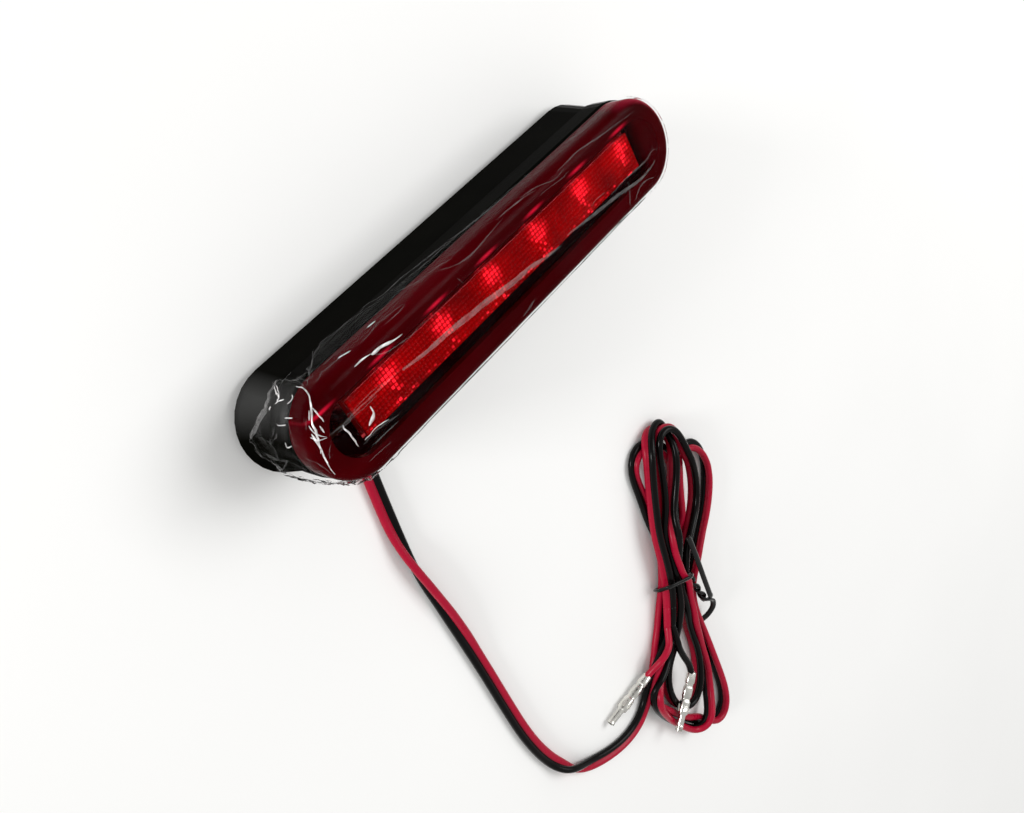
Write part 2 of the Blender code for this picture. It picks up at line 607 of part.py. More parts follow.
def cord_lead():
    """The uncoiled stretch of the flat lead, from the grommet to the hank."""
    tube("cord_lead", smooth_route(LEAD_ROUTE, 9.0), LEAD_R, RED_PVC)


def hank_width(u):
    """Half width of the folded lead at a distance along it from the tie."""
    end = HANK_NEAR if u > 0 else HANK_FAR
    t = min(abs(u) / end, 1.0)
    lobe = HANK_WAIST + (HANK_LOBE - HANK_WAIST) * math.sin(math.pi / 2 * min(t / 0.62, 1.0)) ** 1.5
    return lobe * math.sqrt(max(0.0, 1 - max(0.0, (t - 0.62) / 0.38) ** 2))


def hank_point(u, n, z):
    """A point of the hank: along it, across it and up, in the lamp's frame."""
    ax, ay = HANK_ALONG
    size = math.hypot(ax, ay)
    ax, ay = ax / size, ay / size
    return (HANK_CENTRE[0] + ax * u - ay * n, HANK_CENTRE[1] + ay * u + ax * n, z)


def hank_outline(inset, z):
    """The hank's outline at one height, pulled in by a distance all round."""
    points = []
    for i in range(2 * HANK_STATIONS):
        angle = math.pi * i / HANK_STATIONS
        reach = HANK_FAR if math.cos(angle) > 0 else HANK_NEAR
        u = -reach * math.cos(angle)
        width = hank_width(u) if i % HANK_STATIONS else 0.0
        n = math.copysign(max(width - inset, 0.0), math.sin(angle))
        points.append(hank_point(u * (reach - inset) / reach, n, z))
    return points


def cord_hank():
    """Outer shape of the folded lead: one waisted block with round ends and a tie groove."""
    edge = ((1.6, 0.05), (0.5, 0.6), (0.0, 1.9), (0.0, HANK_HEIGHT - 1.9), (0.5, HANK_HEIGHT - 0.6),
            (1.6, HANK_HEIGHT))
    block = add("cord_hank", loft("cord_hank", [hank_outline(inset, z) for inset, z in edge]), BLACK_PVC)
    depth = 2 * TIE_R + GAP + 0.1
    frames = ((-2.4, 30, -5, 20), (2.4, 30, -5, 20), (2.4, HANK_WAIST - depth, depth, HANK_HEIGHT - depth),
              (-2.4, HANK_WAIST - depth, depth, HANK_HEIGHT - depth))
    rings = [[hank_point(u, n, z) for n, z in ((half, low), (half, high), (-half, high), (-half, low))]
             for u, half, low, high in frames]
    cut(block, cutter("tie_groove", loft("tie_groove", rings, True)))


def twist_tie():
    """Covered wire once round the hank's waist, its two ends twisted off to one side."""
    side, low, high = HANK_WAIST - TIE_R, TIE_R + 0.1, HANK_HEIGHT - TIE_R
    over = HANK_HEIGHT + TIE_R + GAP
    middle = HANK_HEIGHT / 2
    local = [(-26.0, 5.0, over + 0.9), (-18.0, 8.6, over + 0.6), (-9.0, 12.6, over + 0.4),
             (-4.2, 14.8, over - 0.6), (-1.2, side + 2.6, high + 0.8), (-1.1, side - 1.6, high),
             (-0.7, 0.0, high), (-0.4, -side + 1.6, high), (-0.2, -side, high - 1.6), (0.0, -side, middle),
             (0.2, -side, low + 1.6), (0.4, -side + 1.6, low), (0.7, 0.0, low), (1.1, side - 1.6, low),
             (1.2, side, low + 1.6), (1.3, side + 0.6, middle), (1.4, side + 2.4, middle + 1.6),
             (2.8, side + 4.0, high - 0.6), (6.0, side + 4.0, high + 0.8), (11.0, side + 2.6, over + 0.5),
             (14.0, side - 0.4, over + 0.9)]
    tube("twist_tie", smooth_route([hank_point(*p) for p in local], 1.9), TIE_R, BLACK_PVC)


def tails_and_terminals():
    """The two cores after the lead splits, each with its crimp terminal."""
    for colour, route, tip, finish in (("red", RED_TAIL, RED_TIP, RED_PVC),
                                       ("black", BLACK_TAIL, BLACK_TIP, BLACK_PVC)):
        tube(f"tail_{colour}", smooth_route(route, 3.0), CORE_R, finish)
        terminal(f"terminal_{colour}", Vector(route[-1]), Vector(tip))


def terminal(name, start, tip):
    """Crimp socket: insulation grip, wire grip, box with a latch tang, and an open barrel."""
    length = (tip - start).length - GAP
    direction = (tip - start).normalized()
    at = [(1.75, 0.0), (1.75, 3.2), (0.95, 3.9), (0.95, 4.6), (1.35, 5.0), (1.35, 8.6), (0.9, 9.3),
          (0.9, 10.0), (1.55, 10.6), (1.55, length), (0.85, length), (0.85, length - 5.0), (0, length - 5.0)]
    profile = [(0, 0)] + at
    body = turned(name, [(r, -z) for r, z in profile], TIN, 12)
    body.location = (start + direction * GAP) * MM
    body.rotation_mode = "QUATERNION"
    body.rotation_quaternion = Vector((0, 0, -1)).rotation_difference(direction)
    tang = cutter(name + "_tang", box(name + "_tang", (-0.5, -2.1, -16.5), (0.5, 2.1, -12.5)))
    tang.location = body.location
    tang.rotation_mode = "QUATERNION"
    tang.rotation_quaternion = body.rotation_quaternion
    cut(body, tang, "UNION")


def clear_scene():
    """Remove every object that the file starts with."""
    for obj in list(bpy.data.objects):
        bpy.data.objects.remove(obj, do_unlink=True)


def build():
    """Make every piece of the lamp."""
    housing()
    back_plate()
    back_gasket()
    threaded_inserts()
    for i, (x, y) in enumerate(BOSSES):
        countersunk_screw(f"back_screw_{i + 1}", x, y)
    for name, side in (("reflector_screw_near", -1), ("reflector_screw_far", 1)):
        pan_screw(name, side * EAR_X, REFLECTOR_BOTTOM + EAR_T + GAP)
    reflector()
    circuit_board()
    for i, x in enumerate(cell_centres()):
        led(i + 1, x)
    axial_part("resistor_1", AXIAL_X[0], 1.2, 3.2, RESISTOR_TAN)
    axial_part("resistor_2", AXIAL_X[1], 1.2, 3.2, RESISTOR_TAN)
    axial_part("diode", AXIAL_X[2], 1.35, 2.5, DIODE_BLACK)
    light_mask()
    lens_seal()
    lens()
    protective_film()
    grommet()
    inner_wires()
    cord_lead()
    cord_hank()
    twist_tie()
    tails_and_terminals()


clear_scene()
GROUPS = {"parts": bpy.data.collections.new("third_brake_light"),
          "cutters": bpy.data.collections.new("cutters")}
for group in GROUPS.values():
    bpy.context.scene.collection.children.link(group)
build()
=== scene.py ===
"""Third brake light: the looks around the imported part.

The lamp's housing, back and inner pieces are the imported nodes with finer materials. The lens, the
film over it, the lead with its hank, the tie and the terminals are built here. Shapes are written
in millimetres and turned into metres by MM.
"""
import json
import math

import bmesh
import bpy
import numpy as np
from mathutils import Matrix, Vector, noise


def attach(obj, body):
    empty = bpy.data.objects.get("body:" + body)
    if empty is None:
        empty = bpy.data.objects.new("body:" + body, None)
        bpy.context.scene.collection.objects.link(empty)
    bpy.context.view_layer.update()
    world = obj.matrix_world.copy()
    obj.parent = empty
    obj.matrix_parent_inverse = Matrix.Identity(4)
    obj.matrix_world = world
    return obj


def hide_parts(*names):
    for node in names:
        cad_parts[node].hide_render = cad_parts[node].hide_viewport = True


MM = 0.001
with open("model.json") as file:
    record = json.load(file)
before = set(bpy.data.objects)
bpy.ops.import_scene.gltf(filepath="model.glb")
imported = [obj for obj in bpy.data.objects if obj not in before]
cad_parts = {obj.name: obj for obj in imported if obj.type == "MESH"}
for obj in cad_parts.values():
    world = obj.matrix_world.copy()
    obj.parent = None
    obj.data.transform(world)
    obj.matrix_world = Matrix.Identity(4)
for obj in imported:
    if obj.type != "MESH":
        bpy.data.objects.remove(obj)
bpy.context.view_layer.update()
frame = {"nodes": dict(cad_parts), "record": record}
BODY = "root"

# ---- camera, floor and light ----
CAMERA_AT = (-138.08, 98.5, 221.9)
CAMERA_RIGHT = (0.6014, -0.4391, 0.6674)
CAMERA_DOWN = (-0.657, -0.7472, 0.1005)
CAMERA_FORWARD = (0.4545, -0.4989, -0.7379)
FOCAL_PIXELS = 950.0
IMAGE_WIDTH = 1024.0
SENSOR = 36.0
CLIP = (0.01, 20.0)
FLOOR_HALF = 3000
FLOOR_Z = -0.0002
WORLD_COLOUR = (1.0, 0.995, 0.985, 1.0)
WORLD_STRENGTH = 0.58
# name, place, point that it looks at, size and power in watts
LIGHTS = (("key_light", (0.75, 0.0, 1.2), (0.05, -0.08, 0.0), 0.8, 10.6),
          ("low_light", (-0.8, 0.5, 0.22), (-0.07, 0.0, 0.02), 0.26, 6.0))

# ---- lamp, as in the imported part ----
END_CENTRE = 61.0
LENS_R = 14.0
LENS_TOP = 34.0
LENS_BOTTOM = 25.6
LENS_EDGE = 3.0
LENS_WALL = 2.0
WINDOW_R = 8.1
STRIP_HALF_LENGTH = 60.0
STRIP_HALF_WIDTH = 5.5
STRIP_GAP = 0.15
STRIP_DEPTH = 1.1
PILLOW = 1.2
PILLOW_ROWS = 9
PILLOW_STEPS = 4
PILLOW_HEIGHT = 0.34
# hot spots of the strip, where the photo shows them, which is not quite over the imported lamps
# these hot spots are painted highlights: room light reflected in the lamp cups, painted into the
# strip and the lens border
CELLS = 6
CELL_SPACING = 20.36
CELL_SHIFT = 4.2

# ---- lead and tie ----
CORE_R = 1.3
STEP = 2.0
# the lead's route: x, y, z in tenths of a millimetre, and the roll of the red core about the lead
# in degrees; what a row leaves out is as in the row before it
LEAD_POINTS = (
    (-520, -102, 63, 180), (-520, -140, 60), (-520, -183, 52), (-522, -225, 42, 178),
    (-532, -280, 26, 172), (-547, -345, 19, 160), (-573, -462, 21, 135), (-592, -565, 25, 105),
    (-600, -680, 26, 90), (-599, -813, 26, 82), (-601, -970, 24, 60), (-609, -1123, 20, 35),
    (-620, -1275, 16, 15), (-628, -1436, 15, 0), (-619, -1575, 19, -30), (-589, -1689, 24, -75),
    (-528, -1780, 23, -120), (-436, -1850, 19, -150), (-330, -1896, 17, -165),
    (-233, -1896, 18, -172), (-170, -1866, 32, -176), (-125, -1822, 48, -180),
    (-79, -1793, 50, -175), (-19, -1761, 46, -150), (51, -1728, 36, -110), (104, -1687, 28, -90),
    (152, -1631, 26), (196, -1570), (246, -1501), (294, -1445, 26, -80), (345, -1387, 26, -60),
    (400, -1305, 26, 0), (440, -1236, 26, 40), (457, -1178, 24, 45), (444, -1125, 23), (412, -1078),
    (371, -1047), (330, -1038), (296, -1056), (275, -1098), (265, -1172, 23, 50),
    (252, -1254, 24, 60), (230, -1351, 25, 90), (208, -1445, 26, 100), (179, -1514, 26, 110),
    (145, -1571, 26, 130), (108, -1618, 25, 150), (71, -1667, 20, 168), (13, -1737, 16),
    (-46, -1788, 16, 160), (-96, -1835, 18, 145), (-130, -1893, 23, 115), (-124, -1973, 26, 90),
    (-77, -2085), (-17, -2202), (41, -2283), (100, -2297), (145, -2250), (172, -2164), (187, -2055),
    (202, -1933), (212, -1832), (226, -1747), (259, -1678), (313, -1619), (372, -1572),
    (434, -1537), (506, -1478), (559, -1418), (593, -1361, 26, 85), (606, -1308, 25, 75),
    (598, -1255, 24, 60), (566, -1217), (523, -1209), (480, -1231, 26, 90), (437, -1287),
    (398, -1358), (360, -1442), (305, -1507), (245, -1573, 26, 80), (194, -1642, 26, 40),
    (149, -1696, 26, -40), (101, -1739, 26, -80), (47, -1775, 26, -90), (-9, -1823), (-50, -1875),
    (-74, -1933), (-72, -2007), (-45, -2064), (3, -2086), (52, -2066), (95, -2013),
    (134, -1928, 32), (158, -1821, 48), (169, -1720, 64), (182, -1631, 76), (215, -1572, 78),
    (260, -1514), (305, -1470, 76), (327, -1457, 70), (409, -1426, 64), (462, -1374),
    (489, -1312, 68), (496, -1242, 76), (497, -1174, 82), (498, -1116, 76), (488, -1067, 72),
    (466, -1032), (432, -1023, 74), (403, -1041, 78), (378, -1083), (355, -1155, 70),
    (325, -1232, 66), (286, -1299, 68), (242, -1361, 74), (221, -1436, 78), (197, -1509),
    (170, -1573), (138, -1633, 76), (99, -1705, 64), (51, -1770, 46), (-5, -1797, 40),
    (-70, -1812, 50, -60), (-128, -1831, 66, 0), (-161, -1878, 76, 60), (-139, -2016, 48, 90),
    (-88, -2142, 34), (-44, -2205, 48), (-5, -2188, 78), (50, -2163, 64), (101, -2112, 46),
    (137, -2035, 40), (160, -1930, 44), (168, -1821, 60), (182, -1723, 74), (200, -1652, 78),
    (212, -1590, 82, 70), (216, -1510, 96, 30), (231, -1431, 104, -10), (242, -1407, 106, -20),
    (263, -1354, 98, -60), (313, -1312, 82, -90), (365, -1258, 78), (404, -1211), (434, -1162),
    (456, -1122, 72), (478, -1094, 50), (492, -1070, 28), (482, -1042, 26), (456, -1023, 28),
    (417, -1019, 44), (371, -1022, 70), (333, -1060, 80), (303, -1123, 78), (271, -1191, 76),
    (238, -1263), (204, -1336, 78), (189, -1401, 78, -95), (170, -1465, 78, -100),
    (151, -1522, 78, -110), (129, -1570, 78, -130), (96, -1628, 77, -155), (60, -1683, 76, -172))
# the hank's waist and the directions along and across the hank there
TIE_AT = (16.0, -152.6)
TIE_SPAN = 14.0
ALONG = np.array((-0.3903, -0.9207))
ACROSS = np.array((-ALONG[1], ALONG[0]))
# the two cores after the split with the tips of their terminals, and the two ends of the tie
RED_TAIL = ((0.6, -171.6, 7.4), (-3.0, -172.7, 7.9), (-6.4, -173.4, 7.3), (-9.3, -174.9, 5.4),
            (-11.7, -176.0, 4.0), (-13.4, -176.5, 3.4))
RED_TIP = (-35.1, -176.3, 1.9)
BLACK_TAIL = ((4.6, -174.5, 7.4), (3.8, -178.6, 7.3), (3.9, -183.7, 7.1), (4.2, -188.0, 7.0),
              (3.6, -191.6, 7.0), (2.6, -193.4, 7.0))
BLACK_TIP = (-14.0, -205.2, 7.0)
TIE_LONG = ((26.1, -175.7, 6.5), (28.2, -176.1, 7.5), (27.8, -172.4, 8.6), (27.7, -162.7, 10.0),
            (28.1, -152.6, 11.0), (28.3, -143.4, 11.8), (28.2, -140.4, 12.0))
TIE_SHORT = ((26.1, -175.7, 6.5), (29.1, -179.3, 6.5), (29.0, -183.6, 5.0), (26.6, -186.4, 3.0),
             (23.8, -187.0, 1.6))

# ---- how the lead settles: millimetres, or shares of a gap, for each round ----
ROUNDS = 300
SINK = 0.02
HOLD_EARLY, HOLD_LATE, HOLD_UP = 0.03, 0.01, 0.01
FIXED_POINTS = 7
TOUCH = 2 * CORE_R + 0.06
NEAR = 2 * CORE_R + 2.0

# ---- tie: radius and flatness of its wire in the loop and in the ends ----
TIE_R, TIE_FLAT = 1.1, 0.55
TIE_END_R, TIE_END_FLAT = 1.15, 0.5
TIE_BAND = 2.2
TIE_GAP = 0.55
TIE_LOW, TIE_END_LOW = 1.15, 1.2
TWISTS, TWIST_R, TWIST_STEPS = 1.8, 0.9, 60


# ---- helpers: nodes, meshes, curves ----

class Finish:
    """A node material that is built up from named steps."""

    def __init__(self, name):
        self.material = bpy.data.materials.new(name)
        self.material.use_nodes = True
        self.tree = self.material.node_tree
        self.tree.nodes.clear()
        self.out = self.tree.nodes.new("ShaderNodeOutputMaterial")

    def node(self, kind, inputs=None, **settings):
        """Add a node; inputs maps sockets, by name or number, to values or to other sockets."""
        made = self.tree.nodes.new("ShaderNode" + kind)
        for key, value in settings.items():
            setattr(made, key, value)
        for key, value in (inputs or {}).items():
            if isinstance(value, bpy.types.NodeSocket):
                self.tree.links.new(value, made.inputs[key])
            else:
                made.inputs[key].default_value = value
        return made

    def shader(self, kind, **inputs):
        """Add a shader; in the names of its inputs, _ stands for a space."""
        named = {key.replace("_", " "): value for key, value in inputs.items()}
        return self.node("Bsdf" + kind, named).outputs[0]

    def coords(self, scale=(1.0, 1.0, 1.0)):
        """Object coordinates, scaled."""
        where = self.node("TexCoord").outputs["Object"]
        return self.node("Mapping", {"Vector": where, "Scale": scale}).outputs["Vector"]

    def axes(self):
        """The three object coordinates, in metres."""
        return self.node("SeparateXYZ", {"Vector": self.node("TexCoord").outputs["Object"]}).outputs

    def noise(self, scale, detail=3.0, stretch=(1.0, 1.0, 1.0), rough=0.5):
        """A noise value from 0 to 1, at a scale per metre."""
        return self.node("TexNoise", {"Vector": self.coords(stretch), "Scale": scale,
                                      "Detail": detail, "Roughness": rough}).outputs["Fac"]

    def ramp(self, value, low, high, to_low=0.0, to_high=1.0):
        """Carry a value from one range into another, clamped."""
        return self.node("MapRange", {"Value": value, "From Min": low, "From Max": high,
                                      "To Min": to_low, "To Max": to_high}).outputs["Result"]

    def patches(self, scale, detail, low=0.0, high=1.0):
        """Soft patches of noise, from one value to another."""
        return self.ramp(self.noise(scale, detail), 0.3, 0.7, low, high)

    def blend(self, factor, first, second):
        """Mix two colours."""
        return self.node("Mix", {0: factor, 6: first, 7: second}, data_type="RGBA").outputs[2]

    def math(self, operation, first, second=0.0):
        """One arithmetic step."""
        return self.node("Math", {0: first, 1: second}, operation=operation).outputs[0]

    def plus(self, first, second):
        """A sum."""
        return self.math("ADD", first, second)

    def minus(self, first, second):
        """A difference."""
        return self.math("SUBTRACT", first, second)

    def times(self, first, second):
        """A product."""
        return self.math("MULTIPLY", first, second)

    def bump(self, height, distance):
        """A bumped normal; distance is in metres."""
        return self.node("Bump", {"Height": height, "Distance": distance}).outputs["Normal"]

    def mix(self, factor, first, second):
        """Mix two shaders."""
        return self.node("MixShader", {0: factor, 1: first, 2: second}).outputs[0]

    def done(self, shader):
        """Plug the shader into the output and give the material."""
        self.tree.links.new(shader, self.out.inputs["Surface"])
        return self.material


def rgb(red, green, blue):
    """A colour with full alpha."""
    return (red, green, blue, 1.0)


WHITE = rgb(1, 1, 1)


def shaded(colour, factor):
    """A colour made darker or lighter, with full alpha."""
    return rgb(*[c * factor for c in colour])


def make_mesh(name, verts, faces, smooth=True, closed=True):
    """Build an object from points in millimetres; a closed one has its faces turned outward."""
    mesh = bpy.data.meshes.new(name)
    mesh.from_pydata([(x * MM, y * MM, z * MM) for x, y, z in verts], [], faces)
    mesh.validate()
    if closed:
        work = bmesh.new()
        work.from_mesh(mesh)
        bmesh.ops.recalc_face_normals(work, faces=work.faces)
        work.to_mesh(mesh)
        work.free()
    mesh.polygons.foreach_set("use_smooth", [smooth] * len(mesh.polygons))
    obj = bpy.data.objects.new(name, mesh)
    bpy.context.scene.collection.objects.link(obj)
    return obj


def place(obj, material, replaces=()):
    """Give a piece its material, its body and the nodes that it stands for."""
    if material is not None:
        obj.data.materials.append(material)
    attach(obj, BODY)
    if replaces:
        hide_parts(*replaces)
    return obj


def catmull(points, steps=24):
    """Dense points on a Catmull-Rom curve through the rows of an array."""
    rows = np.vstack([2 * points[0] - points[1], points, 2 * points[-1] - points[-2]])
    out = []
    t = np.linspace(0, 1, steps, endpoint=False)[:, None]
    for i in range(1, len(rows) - 2):
        a, b, c, d = rows[i - 1:i + 3]
        out.append(0.5 * (2 * b + (c - a) * t + (2 * a - 5 * b + 4 * c - d) * t ** 2
                          + (3 * b - a - 3 * c + d) * t ** 3))
    out.append(points[-1][None])
    return np.vstack(out)


def resample(points, spacing):
    """Points evenly spaced along a dense line; only the first three columns count as length."""
    along = np.r_[0, np.cumsum(np.linalg.norm(np.diff(points[:, :3], axis=0), axis=1))]
    where = np.linspace(0, along[-1], max(3, round(along[-1] / spacing)) + 1)
    return np.stack([np.interp(where, along, points[:, k]) for k in range(points.shape[1])], 1)


def unit(rows):
    """Rows scaled to length one."""
    return rows / np.maximum(np.linalg.norm(rows, axis=1), 1e-9)[:, None]


def full_rows(rows, before=()):
    """Rows in full: what a row leaves out at its end is as in the row before it."""
    full = []
    for row in rows:
        before = (*row, *before[len(row):])
        full.append(before)
    return np.array(full, float)


def clamp(value):
    """A value kept between 0 and 1."""
    return max(0.0, min(1.0, value))


def skin(rings, close_ends=True):
    """Faces for a stack of closed rings with the same point count."""
    count, faces = len(rings[0]), []
    verts = [tuple(p) for ring in rings for p in ring]
    for k in range(len(rings) - 1):
        for i in range(count):
            j = (i + 1) % count
            faces.append((k * count + i, k * count + j, (k + 1) * count + j, (k + 1) * count + i))
    if close_ends:
        faces.append(tuple(reversed(range(count))))
        faces.append(tuple(range((len(rings) - 1) * count, len(rings) * count)))
    return verts, faces


def tube(points, radius, sides=14, flat=1.0):
    """Rings of a tube along points, its section flattened by a factor along its own up."""
    points = np.asarray(points, float)
    ahead = unit(np.gradient(points, axis=0))
    side = np.cross(ahead[0], (0, 0, 1.0))
    side /= np.linalg.norm(side)
    rings = []
    for p, a in zip(points, ahead):
        side = side - a * side.dot(a)
        side /= np.linalg.norm(side)
        up = np.cross(side, a)
        angles = np.linspace(0, 2 * math.pi, sides, endpoint=False)
        rings.append([p + radius * (math.cos(t) * side + flat * math.sin(t) * up) for t in angles])
    return rings


def stadium(radius, z, steps=40):
    """A closed ring of points at a height, round both ends of the lamp."""
    points = []
    for side in (1, -1):
        for i in range(steps + 1):
            angle = math.pi * (i / steps - 0.5)
            points.append((side * END_CENTRE + radius * (side * math.cos(angle)),
                           radius * (side * math.sin(angle)), z))
    return points


# ---- materials ----

def plastic(name, colour, grain, rough, bump, coat=0.0):
    """Moulded plastic: a fine grain, slight colour drift and uneven gloss."""
    m = Finish(name)
    shade = m.blend(m.patches(60, 4), shaded(colour, 0.8), shaded(colour, 1.25))
    return m.done(m.shader("Principled", Base_Color=shade, Coat_Weight=coat, Coat_Roughness=0.25,
                           Roughness=m.patches(140, 3, rough - 0.05, rough + 0.07),
                           Normal=m.bump(m.noise(grain, 2), bump)))


def satin_black(name, colour, grain, rough, sheen, bump, painted_sheen_and_bevel=False):
    """Black moulding or rubber: a dull body and a low, broad sheen with a fine grain.

    The housing's finish also has a painted sheen: its round near end loses its gloss, except for a
    patch on its +Y side whose gloss is raised so that a sheen shows just there; and its gloss runs
    smoothly over its facets.
    """
    m = Finish(name)
    shade = m.blend(m.patches(70, 4), shaded(colour, 0.75), shaded(colour, 1.3))
    fine = m.bump(m.noise(grain, 2), bump)
    level = m.plus(m.node("Fresnel", {"IOR": sheen, "Normal": fine}).outputs[0], 0.001)
    rounded = fine
    if painted_sheen_and_bevel:
        rounded = m.bump(m.noise(grain, 2), bump)
        bevel = m.node("Bevel", {"Radius": 0.004}).outputs[0]
        m.tree.links.new(bevel, rounded.node.inputs["Normal"])
        # painted sheen: the gloss is taken away over the near end and raised in a patch on its +Y
        # side
        x, y, _ = m.axes()
        near = m.ramp(x, -0.0625, -0.069)
        level = m.times(level, m.minus(1.0, near))
        patch = m.times(near, m.ramp(y, 0.004, 0.012))
        level = m.plus(level, m.times(patch, 0.05))
    gloss = m.patches(160, 3, rough - 0.04, rough + 0.06)
    return m.done(m.mix(level, m.shader("Diffuse", Color=shade, Normal=fine),
                        m.shader("Glossy", Color=WHITE, Roughness=gloss, Normal=rounded)))


def metal(name, colour, rough, stretch, bump=0.00001, scale=900):
    """Bare or plated metal with a brushed or tumbled grain and slight stains."""
    m = Finish(name)
    grain = m.noise(scale, 3, stretch)
    stain = m.ramp(m.noise(220, 4), 0.35, 0.75)
    shade = m.blend(stain, rgb(*colour), shaded(colour, 0.72))
    gloss = m.ramp(grain, 0.3, 0.7, rough * 0.7, rough * 1.5)
    return m.done(m.shader("Principled", Base_Color=shade, Metallic=1.0, Roughness=gloss,
                           Normal=m.bump(grain, bump)))


def pvc(name, colour, sheen):
    """Soft PVC insulation with faint drawing marks and dust."""
    m = Finish(name)
    dust = m.ramp(m.noise(380, 5), 0.52, 0.85, 0.0, 0.3)
    shade = m.blend(dust, rgb(*colour), rgb(*[min(1.0, c * 1.4 + 0.012) for c in colour]))
    return m.done(m.shader("Principled", Base_Color=shade, Roughness=m.patches(500, 3, 0.24, 0.38),
                           Specular_IOR_Level=sheen, Normal=m.bump(m.noise(1500, 2), 0.00003)))


def lens_deep():
    """The thick, dark red border of the lens: glossy, with painted light: a brighter red in its far
    rim, and painted reflections of the hot spots along its inner edge.
    """
    m = Finish("lens_deep_red")
    cloud = m.ramp(m.noise(70, 3, (0.3, 1.0, 1.0)), 0.3, 0.75)
    shade = m.blend(cloud, rgb(0.03, 0.0, 0.0006), rgb(0.065, 0.0002, 0.0016))
    # painted reflection: a bright red spot for each hot spot, along the border's inner edge
    inner = m.ramp(spots(m, 8.9, 3.6, 0.5), 0.1, 1.0, 0.0, 0.9)
    shade = m.blend(inner, shade, rgb(0.7, 0.008, 0.035))
    x, y, _ = m.axes()
    # painted light: the far rim, out to the lens's edge, is painted a brighter red, standing for
    # light that comes through the edge
    past = m.math("MAXIMUM", m.minus(x, END_CENTRE * MM), 0.0)
    reach = m.math("SQRT", m.plus(m.times(past, past), m.times(y, y)))
    thin = m.times(m.ramp(reach, 0.0119, 0.0134), m.ramp(x, 0.057, 0.073))
    shade = m.blend(thin, shade, rgb(0.4, 0.013, 0.04))
    inside = m.mix(0.06, m.shader("Diffuse", Color=shade),
                   m.shader("Translucent", Color=rgb(0.75, 0.012, 0.03)))
    face = m.shader("Glossy", Color=WHITE, Roughness=m.patches(200, 2, 0.08, 0.14))
    return m.done(m.mix(m.node("Fresnel", {"IOR": 1.06}).outputs[0], inside, face))


def lens_clear():
    """The window of the lens over the strip: tinted and clear, with a glossy face; past the strip's
    far end it carries painted shade, a dark opaque red.
    """
    m = Finish("lens_clear_red")
    shade = m.blend(m.patches(150, 2), rgb(1.0, 0.5, 0.52), rgb(0.96, 0.55, 0.57))
    # painted shade: a trace of dark red over the whole window, growing to a dark opaque red past
    # the strip's far end
    far = m.ramp(m.axes()[0], 0.0595, 0.0635, 0.03, 0.72)
    tinted = m.mix(far, m.shader("Transparent", Color=shade),
                   m.shader("Diffuse", Color=rgb(0.05, 0.0, 0.001)))
    return m.done(m.mix(m.node("Fresnel", {"IOR": 1.06}).outputs[0], tinted,
                        m.shader("Glossy", Color=WHITE, Roughness=0.06)))


def spots(m, centre_y, spread_x, spread_y):
    """A row of soft spots, from 0 to 1, one for each painted hot spot; spreads are in millimetres.
    """
    x, y, _ = m.axes()
    x = m.times(x, 1 / MM)
    y = m.minus(m.times(y, 1 / MM), centre_y)
    first = CELL_SHIFT - (CELLS - 1) / 2 * CELL_SPACING
    turns = m.math("DIVIDE", m.minus(x, first), CELL_SPACING)
    off = m.times(m.minus(turns, m.math("ROUND", turns)), CELL_SPACING)
    wide = m.math("DIVIDE", m.times(off, off), -spread_x * spread_x)
    deep = m.math("DIVIDE", m.times(y, y), -spread_y * spread_y)
    return m.math("EXPONENT", m.plus(wide, deep))


def optics():
    """Square pillow optics with painted light: hot spots, streaks and a pool round each stand for
    room light reflected in the lamp cups; they are painted bright and given off as the strip's own
    light; deep red between.
    """
    m = Finish("lens_optics_red")
    grid = (1000 / PILLOW, 1000 / PILLOW, 0.0)
    cell = m.node("VectorMath", {0: m.coords(grid)}, operation="FLOOR")
    random = m.node("TexWhiteNoise", {"Vector": cell.outputs[0]}, noise_dimensions="2D")
    random = random.outputs["Value"]
    inside = m.node("VectorMath", {0: m.coords(grid)}, operation="FRACTION")
    square = m.node("SeparateXYZ", {"Vector": inside.outputs[0]})
    across = [m.math("ABSOLUTE", m.minus(square.outputs[k], 0.5)) for k in (0, 1)]
    dot = m.ramp(m.math("MAXIMUM", *across), 0.47, 0.33)
    # painted light: a soft pool of brighter red round each hot spot
    painted_light_pool = m.times(spots(m, 1.0, 6.5, 6.0), 0.5)
    # painted reflections: a trail through each hot spot and a row of glinting pillows along one
    # side of the strip, both given off as light
    trail = m.times(spots(m, -1.5, 2.4, 6.0), m.ramp(random, 0.25, 0.85))
    row = m.times(spots(m, -4.7, 40.0, 0.6), m.ramp(random, 0.5, 1.0))
    streaks = m.plus(m.times(trail, 0.6), m.times(row, 0.7))
    # painted highlight: each hot spot, room light reflected in a lamp cup
    glow = m.plus(spots(m, 2.8, 3.5, 2.7), streaks)
    glow = m.times(glow, m.times(dot, m.ramp(random, 0.0, 1.0, 0.7, 1.2)))
    patch = m.ramp(m.noise(95, 2), 0.35, 0.65)
    base = m.blend(m.plus(m.times(patch, 0.5), painted_light_pool), rgb(0.13, 0.0, 0.001),
                   rgb(0.5, 0.0008, 0.005))
    # painted shade: the base colour is darkened in the grooves between the pillows
    base = m.blend(m.ramp(dot, 0.0, 1.0, 0.5, 1.0), rgb(0.02, 0.0, 0.0), base)
    # painted highlight colour: the hot spots turn a pinkish red
    shade = m.blend(m.ramp(glow, 0.15, 0.9), base, rgb(1.0, 0.06, 0.12))
    # the strip gives off light of its own though the lamp is not lit: faintly all over, and
    # strongly at the painted hot spots
    lit = m.plus(0.16, m.times(m.ramp(glow, 0.0, 1.0), 0.75))
    return m.done(m.shader("Principled", Base_Color=shade, Roughness=0.25, Specular_IOR_Level=0.15,
                           Emission_Color=shade, Emission_Strength=lit))


